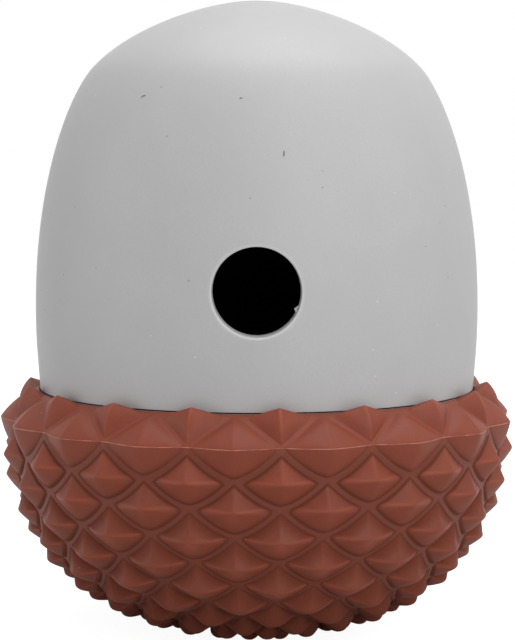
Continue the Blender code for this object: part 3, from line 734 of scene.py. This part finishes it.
def round_corners(loop, centre, style):
    """A closed loop averaged along itself, which blunts its corners above and below its centre."""
    step = np.linalg.norm(loop - np.roll(loop, 1, axis=0), axis=1).mean()

    def blunt(width):
        reach = int(np.ceil(BLUNTING_REACH * width / step))
        shifts = np.arange(-reach, reach + 1)
        weights = np.exp(-(shifts * step / width) ** 2 / 2)
        return sum(w * np.roll(loop, s, axis=0) for s, w in zip(shifts, weights)) / weights.sum()

    fall = loop[:, 1] - centre[1]
    low = np.clip(fall / fall.max(), 0, 1)[:, None]
    high = np.clip(fall / fall.min(), 0, 1)[:, None]
    return (blunt(CORNER_ROUND) * (1 - low - high) + blunt(style.bottom_round) * low
            + blunt(style.top_round) * high)


def soft_height(place, centre, foot, brow, ridge):
    """Height of a pyramid over a foot outline, as a share, softened by brow sideways and ridge down."""
    offset = foot - centre
    turn = np.arctan2(offset[:, 1], offset[:, 0])
    order = np.argsort(turn)
    reach = np.linalg.norm(offset, axis=1)
    turns = np.concatenate([turn[order] - tau, turn[order], turn[order] + tau])
    reaches = np.tile(reach[order], 3)

    def pyramid(where):
        away = where - centre
        far = np.linalg.norm(away, axis=-1)
        edge = np.interp(np.arctan2(away[..., 1], away[..., 0]), turns, reaches)
        return np.clip(1 - far / edge, 0, 1)

    exact = pyramid(place)
    total, weight = exact.copy(), 1.0
    for ring in range(1, SOFTENING_RINGS + 1):
        radius = SOFTENING_REACH * ring / SOFTENING_RINGS
        part = np.exp(-radius ** 2 / 2)
        for angle in np.arange(6 * ring) * tau / (6 * ring):
            total += part * pyramid(place + radius * np.array([brow * cos(angle), ridge * sin(angle)]))
            weight += part
    soft = total / weight
    keep = np.clip(exact / SHARP_SHARE, 0, 1)
    keep = keep * keep * (3 - 2 * keep)
    return exact + (soft - exact) * keep


def set_in(row, first, rows):
    """0 down to the first row, and 1 some rows below it."""
    return np.clip((row - first) / rows, 0, 1)


class Stud:
    """One stud of a row, as places on the cup's surface round the middle of its cell."""

    def __init__(self, surface, row):
        sizes, style = surface.sizes, ROWS.get(row, LOWER_ROW)
        self.surface, self.row, self.style = surface, row, style
        sides, widths = stud_border(surface, row)
        lines = [surface.places(levels, halves) for levels, halves in sides]
        # The channels that run down from the uppermost crossings have hollows
        self.valleys = {-1: lines[2:4], 0: [lines[0], lines[3]]}.get(row)
        self.border = np.vstack([line[:-1] for line in lines])
        self.in_channel = np.concatenate([levels[:-1] for levels, halves in sides]) > 0
        self.centre, self.lift = self.tip()
        blunt = 1 + max(0, row - BLUNT_FROM) * BLUNT_STEP
        self.brow = sizes.brow * style.brow * blunt
        self.ridge = sizes.ridge * blunt if row >= 0 else self.brow
        foot = stud_foot(self.border, lines, widths, self.centre)
        if row < 0:
            foot = top_foot(surface, foot, self.centre)
        self.foot = round_corners(foot, self.centre, style)
        self.crease = np.full(len(foot), style.crease)
        if row == 0:
            self.crease[self.border[:, 1] < self.centre[1]] = 0.0
        self.lowness = set_in(row, *LOW_ROWS)
        painted_shade = sum(most * set_in(row, first, rows) for first, rows, most in SHADED_ROWS)
        self.painted_shade = np.full(len(foot), painted_shade)

    def tip(self):
        """Where the tip stands on the surface, and how far out from there."""
        surface, sizes = self.surface, self.surface.sizes
        if self.row < 0:
            tip = np.array([surface.mouth + sizes.top_reach, sizes.rim_height + sizes.top_rise])
            nearest = np.argmin(np.linalg.norm(surface.above - tip, axis=1))
            along = -float(surface.above_along[nearest])
            return np.array([0.0, along]), tip - surface.at(along)
        along = float(surface.along(self.row)) - self.style.up
        fade = 1 - FLATTENING * (along / surface.below_along[-1]) ** FLATTENING_POWER
        normal = read(surface.normals, along, surface.below_along)
        return np.array([0.0, along]), normal * sizes.stud_height * fade * self.style.height

    def turned(self, place):
        """Places from the tip as shares of the foot's reach, and how far they lie up (-1) or down (1)."""
        turned = (place - self.centre) / np.abs(self.foot - self.centre).max(axis=0)
        return turned, turned[:, 1] / np.maximum(np.linalg.norm(turned, axis=1), TINY)

    def raised(self, place):
        """Height of places between the foot and the tip, as a share of the tip's."""
        style = self.style
        spots = np.vstack([place, self.centre])
        soft = soft_height(spots, self.centre, self.foot, self.brow, self.ridge)
        raised = np.clip(soft[:-1] / soft[-1], 0, 1)
        slope = self.turned(place)[1]
        steep = raised ** np.where(slope < 0, style.upper_power, style.lower_power)
        level = 1 - (1 - raised) ** style.side_power
        raised = level + (steep - level) * slope ** 2
        if self.row < 0:
            return raised
        near = np.linalg.norm(place - self.foot, axis=1) / self.surface.sizes.fillet
        near = np.clip(near, 0, 1)
        return raised * near * (2 - near)

    def painted_light(self, place, part):
        """Painted highlight on the ridges, and painted light on the lower facets of the low rows."""
        width = self.surface.sizes.ridge_highlight
        turned, slope = self.turned(place)
        level = np.exp(-((place[:, 1] - self.centre[1]) / width) ** 2) * (LEVEL_HIGHLIGHT - part * LEVEL_HIGHLIGHT_FALL)
        upright = np.exp(-(place[:, 0] / width) ** 2) * self.style.upright
        upright *= 1 - UPRIGHT_FALL * np.clip(turned[:, 1], 0, 1)
        if self.row >= 0:
            upright *= place[:, 1] < self.centre[1]
        below = np.clip(slope, 0, 1) * part * self.lowness
        return np.maximum.reduce([level * (self.row > 0), upright, below])

    def painted_shade_at(self, place, part):
        """Painted shade in the crease round the foot, on the upper facets of the low rows, and over the
        lower rows as a whole.
        """
        crease = max(0.0, 1 - part / CREASE_SHADE_REACH) ** 2
        upper = (1 - part) * UPPER_FACET_SHADE * self.lowness * (self.turned(place)[1] < 0)
        return self.painted_shade + (1 - self.painted_shade) * self.crease * np.maximum(crease, upper)

    def rings(self):
        """Radius, height, angle, painted light and painted shade of each point, in rings from the border to
        the tip. Painted light above 0 is a highlight, and below 0 a shade in the channels.
        """
        groove = self.crease * self.surface.sizes.groove / np.linalg.norm(self.lift)
        zero = np.zeros(len(self.foot))
        # The channels get -1, a painted shade darker than the rubber, and the foot ring a share of it
        channel = np.where(self.in_channel, -1.0, 0.0)
        gap = self.border - self.foot
        out = np.clip(FOOT_RING / np.linalg.norm(gap, axis=1), 0, FOOT_RING_MOST)
        rings = [(self.border, groove * CHANNEL_RISE, channel, self.painted_shade),
                 (self.foot + gap * out[:, None], zero, channel,
                  np.maximum(self.painted_shade, self.crease * RING_SHADE))]
        for part in STUD_SHARES:
            place = self.foot + (self.centre - self.foot) * part
            raised = self.raised(place) if part else -groove
            painted_light = self.painted_light(place, part) if part else channel * FOOT_SHADE
            rings.append((place, raised, painted_light, self.painted_shade_at(place, part)))
        rings.append((np.tile(self.centre, (len(zero), 1)), zero + 1, zero, self.painted_shade))
        result = []
        for place, raised, painted_light, painted_shade in rings:
            base = self.surface.at(place[:, 1])
            angle = place[:, 0] / base[:, 0]
            if self.valleys:
                base = base + self.surface.hollowed(place, self.valleys)
            spot = base + self.lift * raised[:, None]
            result.append((spot[:, 0], spot[:, 1], angle, painted_light, painted_shade))
        return np.array(result).swapaxes(0, 1)


def cup_mesh(surface):
    """The studs row by row, the floor with its pad, and the hollow inside."""
    sizes = surface.sizes
    pad_along = float(np.interp(-sizes.pad_radius, -surface.below[:, 0], surface.below_along))
    rows = int((pad_along - sizes.first_step) / sizes.row_pitch)
    skin = Skin()
    for row in range(-1, rows):
        radius, height, angle, painted_light, painted_shade = Stud(surface, row).rings()
        for stud in range(sizes.studs):
            centre = sizes.turn + (2 * stud + (row + 1) % 2) * pi / sizes.studs
            # The marks ridge and crease carry the painted light and the painted shade
            skin.add(on_circle(radius, height, angle + centre), ridge=painted_light, crease=painted_shade)
    add_floor(skin, surface, rows, pad_along)
    add_hollow(skin, surface)
    return skin.mesh("studded_rubber", CUP_SHARP_ANGLE)


def add_floor(skin, surface, rows, pad_along):
    """From the lowest studs to the pad that the toy stands on."""
    sizes = surface.sizes
    half_turn = pi / sizes.studs
    fall = rows - 1 + sagging(np.linspace(0, 1, EDGE_STEPS + 1), sizes.sag)
    levels = np.tile(np.concatenate([fall[:-1], fall[:0:-1]]), sizes.studs)
    angle = sizes.turn + (1 + rows % 2) * half_turn + np.arange(len(levels)) * half_turn / EDGE_STEPS
    start = surface.along(levels)
    rings = []
    for part in np.linspace(0, 1, FLOOR_STEPS + 1):
        place = surface.at(start + (pad_along - start) * part)
        rings.append(on_circle(place[:, 0], place[:, 1], angle))
    for turn in np.linspace(0, pi / 2, ROUND_STEPS + 1):
        radius = sizes.pad_radius - sizes.pad_edge * (1 - cos(turn))
        rings.append(on_circle(radius, sizes.pad_edge * (1 - sin(turn)), angle))
    rings += [on_circle(sizes.pad_radius / 2, 0.0, angle), on_circle(0.0, 0.0, angle)]
    # The floor and the pad get a strong painted shade
    skin.add(rings, ridge=0.0, crease=FLOOR_PAINTED_SHADE)


def add_hollow(skin, surface):
    """The mouth's wall, the underside of its lip and the inside down to the axis."""
    sizes = surface.sizes
    count = 2 * EDGE_STEPS * sizes.studs
    angle = sizes.turn + (np.arange(count) / EDGE_STEPS - 1) * pi / sizes.studs
    lip = sizes.rim_height - sizes.lip_depth
    inner = surface.below - surface.normals * sizes.wall
    inner[-1, 0] = 0
    along = arc_length(inner)
    wall = read(inner, np.linspace(0, along[-1], INSIDE_ROWS), along)
    profile = np.vstack([(surface.mouth, sizes.rim_height), (surface.mouth, lip), (wall[0, 0], lip), wall])
    # The hollow inside gets a faint painted shade
    skin.add([on_circle(radius, height, angle) for radius, height in profile], ridge=0.0,
             crease=INSIDE_PAINTED_SHADE)


def mould_line_mesh(surface):
    """Thin bead that the mould's halves left along the studs of the first row."""
    sizes = surface.sizes
    radius, _, angle, _, _ = Stud(surface, 0).rings()
    # A ring starts at the cell's top corner and runs down its right side
    left, right = 3 * EDGE_STEPS, EDGE_STEPS
    radii = np.concatenate([radius[:-1, left], radius[:0:-1, right]])
    angles = np.concatenate([angle[:-1, left], angle[:0:-1, right]])
    centres = sizes.turn + (2 * np.arange(sizes.studs) + 1) * pi / sizes.studs
    radii, angles = np.tile(radii, sizes.studs), (centres[:, None] + angles).ravel()
    bead = sizes.mould_line
    skin = Skin()
    numbers = skin.add([on_circle(radii + bead * cos(turn), sizes.seam_height + bead * sin(turn), angles)
                        for turn in np.arange(BEAD_SIDES) * tau / BEAD_SIDES])
    skin.join(numbers[-1], numbers[0])
    return skin.mesh("mould_line")


def new_material(name):
    surface = bpy.data.materials.new(name)
    surface.use_nodes = True
    tree = surface.node_tree
    return surface, tree, tree.nodes["Principled BSDF"]


def feed(value, socket):
    """Links a socket to another one, or sets it to a number or a colour."""
    if isinstance(value, bpy.types.NodeSocket):
        socket.id_data.links.new(value, socket)
    else:
        socket.default_value = (*value, 1.0) if isinstance(value, tuple) else value


def set_up(item, **settings):
    """Feeds a node's sockets by their names, and sets what isn't a socket."""
    for key, value in settings.items():
        socket = item.inputs.get(key.replace("_", " ").title().replace("Ior", "IOR"))
        if socket is None:
            setattr(item, key, value)
        else:
            feed(value, socket)


def add_node(tree, kind, *values, **settings):
    """A node with its settings. Values feed its sockets in their order."""
    item = tree.nodes.new(kind)
    set_up(item, **settings)
    for value, socket in zip(values, item.inputs):
        feed(value, socket)
    return item


def combine(tree, operation, first, second):
    return add_node(tree, "ShaderNodeMath", first, second, operation=operation).outputs[0]


def object_space(tree):
    return add_node(tree, "ShaderNodeTexCoord").outputs["Object"]


def marked(tree, name):
    return add_node(tree, "ShaderNodeAttribute", attribute_name=name).outputs["Fac"]


def noise(tree, size, detail=2.0, roughness=0.5):
    """Noise whose features are about a size across."""
    return add_node(tree, "ShaderNodeTexNoise", object_space(tree), scale=1 / size, detail=detail,
                    roughness=roughness).outputs["Fac"]


def spread(tree, value, limits, low=0.0, high=1.0):
    """A value's limits mapped to low and high, held there outside them."""
    return add_node(tree, "ShaderNodeMapRange", value, *limits, low, high).outputs[0]


def blend(tree, value, first, second, limits=(0.0, 1.0), most=1.0):
    """One colour at a value's first limit, and most of the other one at its second."""
    item = add_node(tree, "ShaderNodeMix", spread(tree, value, limits, high=most), data_type="RGBA")
    # A mix node has its two colours at 6 and 7, and its mixed colour at 2
    feed(first, item.inputs[6])
    feed(second, item.inputs[7])
    return item.outputs[2]


def specks(tree, apart, radius):
    """Two masks of scattered specks, about as far apart as given."""
    cells = add_node(tree, "ShaderNodeTexVoronoi", object_space(tree), scale=1 / apart)
    edges = (radius * SPECK_CORE / apart, radius / apart)
    spot = spread(tree, cells.outputs["Distance"], edges, 1.0, 0.0)
    kind = add_node(tree, "ShaderNodeSeparateColor", cells.outputs["Color"]).outputs[0]
    return [combine(tree, "MULTIPLY", spot, spread(tree, kind, limits))
            for limits in ((0.5, 0.51), (0.5, 0.49))]


def shade(tint, amounts):
    """A colour by an amount of it, or by one for each of red, green and blue."""
    return tuple(min(1.0, channel * amount) for channel, amount in zip(tint, np.broadcast_to(amounts, 3)))


def bumps(tree, *layers):
    """The normal of bumps of several sizes, each a signal, a strength and a depth in metres."""
    before = {}
    for signal, strength, depth in layers:
        item = add_node(tree, "ShaderNodeBump", height=signal, strength=strength, distance=depth, **before)
        before = {"normal": item.outputs[0]}
    return item.outputs[0]


def dome_plastic(name, tint, gloss=0.45):
    """Satin plastic with a fine grain, a soft mottle and scattered specks."""
    surface, tree, shader = new_material(name)
    grain = noise(tree, 0.00045, detail=3.0, roughness=0.6)
    tone = blend(tree, noise(tree, 0.012), shade(tint, 0.975), shade(tint, 1.02), MOTTLE)
    tone = blend(tree, grain, shade(tint, 0.94), tone, GRAIN)
    # Painted highlight in a ring round the treat hole
    tone = blend(tree, marked(tree, "halo"), tone, shade(tint, 1.3))
    dark, pale = specks(tree, apart=0.005, radius=0.0003)
    tone = blend(tree, dark, tone, shade(tint, 0.6))
    tone = blend(tree, pale, tone, shade(tint, 1.25))
    waves = noise(tree, 0.006, detail=1.0)
    set_up(shader, base_color=tone, roughness=spread(tree, grain, GRAIN, *SATIN),
           specular_ior_level=gloss, normal=bumps(tree, (waves, 0.12, 0.0002), (grain, 0.16, 0.00006)))
    return surface


def cup_rubber(tint):
    """Brown satin rubber with painted highlights on the ridges, and painted shade in the channels, the
    creases and the low rows.
    """
    surface, tree, shader = new_material("cup_rubber")
    # The ridge mark is a painted highlight above 0 and a painted shade in the channels below 0; the crease
    # mark is painted shade, which also dulls the rubber
    ridge, crease = marked(tree, "ridge"), marked(tree, "crease")
    grain = noise(tree, 0.0004, detail=4.0, roughness=0.62)
    mottle = noise(tree, 0.006, detail=3.0)
    tone = blend(tree, mottle, shade(tint, 0.93), shade(tint, 1.06), MOTTLE)
    tone = blend(tree, grain, shade(tint, 0.82), tone, GRAIN)
    # Painted highlight on the ridges and on the lower facets of the low rows
    tone = blend(tree, ridge, tone, shade(tint, PAINTED_HIGHLIGHT), limits=(0.2, 1.0), most=0.6)
    # Painted shade in the channels
    tone = blend(tree, ridge, tone, shade(tint, CHANNEL_SHADE), limits=(0.0, -1.0), most=0.56)
    # Painted shade in the creases, under the studs above and over the low rows
    tone = blend(tree, crease, tone, shade(tint, PAINTED_SHADE_TONE), most=0.55)
    tone = blend(tree, specks(tree, apart=0.0035, radius=0.00011)[1], tone, LINT)
    dull = combine(tree, "MAXIMUM", spread(tree, grain, GRAIN, *SATIN),
                   spread(tree, crease, (0.0, 0.6), high=0.95))
    set_up(shader, base_color=tone, roughness=dull, specular_ior_level=0.28,
           normal=bumps(tree, (mottle, 0.2, 0.0002), (grain, 0.3, 0.00008)))
    return surface


def line_rubber(tint):
    """The rubber of the parting line, paler than the cup's."""
    surface, tree, shader = new_material("mould_line_rubber")
    tone = blend(tree, noise(tree, 0.003), shade(tint, 1.2), shade(tint, PALE_LINE), limits=(0.4, 0.6))
    set_up(shader, base_color=tone, roughness=0.5)
    return surface


def moulded(name, tint, roughness, grain_size=0.0005, metallic=0.0, depth=0.00005):
    """A moulded, cast or turned finish with its own grain."""
    surface, tree, shader = new_material(name)
    grain = noise(tree, grain_size, detail=4.0, roughness=0.6)
    tone = blend(tree, noise(tree, grain_size * CLOUD_GRAINS), shade(tint, 0.9), shade(tint, 1.1), MOTTLE)
    gloss = spread(tree, grain, GRAIN, roughness - GLOSS_SPREAD, roughness + GLOSS_SPREAD)
    set_up(shader, base_color=tone, roughness=gloss, metallic=metallic,
           normal=bumps(tree, (grain, 0.3, depth)))
    return surface


def seen_directly(tree):
    """1 for rays from the camera and for reflected and transmitted ones, 0 for scattered ones."""
    path = add_node(tree, "ShaderNodeLightPath").outputs
    mirrored = combine(tree, "MAXIMUM", path["Is Camera Ray"], path["Is Glossy Ray"])
    return combine(tree, "MAXIMUM", mirrored, path["Is Transmission Ray"])


def floor_glow(tree):
    """White to the camera. Reflections show a painted shadow on the floor where the toy stands over it."""
    away = add_node(tree, "ShaderNodeVectorMath", object_space(tree), operation="LENGTH")
    open_floor = spread(tree, away.outputs["Value"], FLOOR_FADE, FLOOR_SHADOW, FLOOR_WHITE)
    camera_ray = add_node(tree, "ShaderNodeLightPath").outputs["Is Camera Ray"]
    return combine(tree, "MAXIMUM", open_floor, combine(tree, "MULTIPLY", camera_ray, FLOOR_WHITE))


def white_floor(floor_shade):
    """White to the eye and to reflections, dim as a source of bounced light."""
    surface, tree, shader = new_material("white_floor")
    tree.nodes.remove(shader)
    paper = add_node(tree, "ShaderNodeBsdfDiffuse", PAPER)
    glow = add_node(tree, "ShaderNodeEmission", strength=floor_glow(tree))
    bright = add_node(tree, "ShaderNodeAddShader", paper.outputs[0], glow.outputs[0])
    dim = add_node(tree, "ShaderNodeBsdfDiffuse", (floor_shade, floor_shade, floor_shade))
    mix = add_node(tree, "ShaderNodeMixShader", seen_directly(tree), dim.outputs[0], bright.outputs[0])
    feed(mix.outputs[0], tree.nodes["Material Output"].inputs["Surface"])
    return surface


def white_room(light):
    """A world that is white to the eye and lights the toy evenly."""
    world = bpy.data.worlds.new("white_room")
    world.use_nodes = True
    tree = world.node_tree
    tree.nodes.clear()
    strength = spread(tree, seen_directly(tree), (0.0, 1.0), light, 1.0)
    background = add_node(tree, "ShaderNodeBackground", (1.0, 1.0, 1.0), strength)
    add_node(tree, "ShaderNodeOutputWorld", background.outputs[0])
    bpy.context.scene.world = world


def softbox(name, place, size, power, target):
    """A square lamp that faces the toy."""
    lamp = bpy.data.lights.new(name, "AREA")
    lamp.shape = "SQUARE"
    lamp.size = size
    lamp.energy = power
    item = link(name, lamp)
    item.location = place
    item.rotation_mode = "QUATERNION"
    item.rotation_quaternion = (target - item.location).to_track_quat("-Z", "Y")


class TREATBALL_OT_dome(bpy.types.Operator):
    """Makes the dome with its treat hole and its thread"""
    bl_idname = "treatball.dome"
    bl_label = "Dome"

    def execute(self, context):
        sizes, base = context.scene.treat_ball_dome, context.scene.treat_ball_base
        plastic = dome_plastic("dome_plastic", sizes.grey)
        # Near-black painted shade on the dome's inner skin, its thread and the joint's groove
        dark = dome_plastic("dome_inside_painted_shade", sizes.inside, gloss=0.05)
        dome = piece(dome_mesh(sizes), plastic)
        dome.data.materials.append(dark)
        mark_painted_shade(dome.data, sizes)
        mark_hole(dome.data, sizes)
        thread = piece(dome_thread_mesh(sizes, base), dark)
        flash = piece(flash_mesh(sizes), plastic)
        dark_grey = moulded("scratch_shade", shade(sizes.grey, SCRATCH_SHADE), 0.6)
        scratches = piece(scratches_mesh(sizes), dark_grey)
        for item in (dome, thread, flash, scratches):
            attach(item, "dome")
        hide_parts("dome_shell")
        return {"FINISHED"}


class TREATBALL_OT_cup(bpy.types.Operator):
    """Makes the rubber cup with its rows of studs"""
    bl_idname = "treatball.cup"
    bl_label = "Studded cup"

    def execute(self, context):
        sizes, dome = context.scene.treat_ball_cup, context.scene.treat_ball_dome
        dome_radius = float(radius_at(dome_outline(dome), sizes.rim_height))
        surface = CupSurface(sizes, dome_radius + sizes.rim_gap)
        cup = piece(cup_mesh(surface), cup_rubber(sizes.brown))
        line = piece(mould_line_mesh(surface), line_rubber(sizes.brown))
        for item in (cup, line):
            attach(item, "base")
        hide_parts("studded_cup")
        return {"FINISHED"}


class TREATBALL_OT_base(bpy.types.Operator):
    """Finishes the bowl, the collar and the dome's seal"""
    bl_idname = "treatball.base"
    bl_label = "Bowl and collar"

    def execute(self, context):
        sizes, nodes = context.scene.treat_ball_base, frame["nodes"]
        dress(nodes["base_bowl"], moulded("bowl_plastic", sizes.plastic, 0.5))
        dress(nodes["threaded_collar"], moulded("collar_plastic", sizes.plastic, 0.42))
        dress(nodes["seal_ring"], moulded("seal_rubber", sizes.seal, 0.7))
        return {"FINISHED"}


class TREATBALL_OT_ballast(bpy.types.Operator):
    """Finishes the ballast, its cover, the cover's seal and the screws"""
    bl_idname = "treatball.ballast"
    bl_label = "Ballast and cover"

    def execute(self, context):
        sizes, nodes = context.scene.treat_ball_base, frame["nodes"]
        dress(nodes["ballast_weight"], moulded("cast_iron", sizes.iron, 0.6, grain_size=0.0012,
                                               metallic=0.9, depth=0.0002))
        dress(nodes["weight_cover"], moulded("cover_plastic", sizes.cover, 0.5))
        dress(nodes["cover_seal"], moulded("cover_seal_rubber", sizes.seal, 0.7))
        steel = moulded("screw_steel", sizes.steel, 0.33, grain_size=0.0003, metallic=1.0, depth=0.00002)
        for name in sorted(nodes):
            if name.startswith("cover_screw"):
                dress(nodes[name], steel)
        return {"FINISHED"}


class TREATBALL_OT_stage(bpy.types.Operator):
    """Sets up the camera, the white floor and the soft lamps"""
    bl_idname = "treatball.stage"
    bl_label = "Stage"

    def execute(self, context):
        scene = context.scene
        sizes = scene.treat_ball_stage
        bpy.ops.mesh.primitive_plane_add(size=sizes.floor_width)
        floor = context.active_object
        floor.name = "floor"
        dress(floor, white_floor(sizes.floor_shade))
        white_room(sizes.room_light)
        camera = link("camera", bpy.data.cameras.new("camera"))
        camera.data.lens = sizes.lens
        camera.location = (sizes.aside, -sizes.distance * cos(sizes.elevation),
                           sizes.target_height + sizes.distance * sin(sizes.elevation))
        camera.rotation_euler = (pi / 2 - sizes.elevation, 0, 0)
        scene.camera = camera
        for name, place, size, power in SOFTBOXES:
            softbox(name, place, size, power, Vector((0, 0, sizes.target_height)))
        scene.view_settings.view_transform = "Standard"
        return {"FINISHED"}


class TREATBALL_PT_panel(bpy.types.Panel):
    """Lists the steps that build the toy"""
    bl_idname = "TREATBALL_PT_panel"
    bl_label = "Treat Ball"
    bl_space_type = "VIEW_3D"
    bl_region_type = "UI"
    bl_category = "Treat Ball"

    def draw(self, context):
        for step in STEPS:
            self.layout.operator(step.bl_idname)


SIZES = {"treat_ball_dome": DomeSizes, "treat_ball_cup": CupSizes, "treat_ball_base": BaseSizes,
         "treat_ball_stage": StageSizes}
STEPS = (TREATBALL_OT_stage, TREATBALL_OT_dome, TREATBALL_OT_cup, TREATBALL_OT_base,
         TREATBALL_OT_ballast)
CLASSES = (*SIZES.values(), *STEPS, TREATBALL_PT_panel)


def register():
    for item in CLASSES:
        bpy.utils.register_class(item)
    for name, group in SIZES.items():
        setattr(bpy.types.Scene, name, bpy.props.PointerProperty(type=group))


def unregister():
    for name in SIZES:
        delattr(bpy.types.Scene, name)
    for item in reversed(CLASSES):
        bpy.utils.unregister_class(item)


def main():
    register()
    bpy.ops.treatball.stage()
    bpy.ops.treatball.dome()
    bpy.ops.treatball.cup()
    bpy.ops.treatball.base()
    bpy.ops.treatball.ballast()


if __name__ == "__main__":
    main()
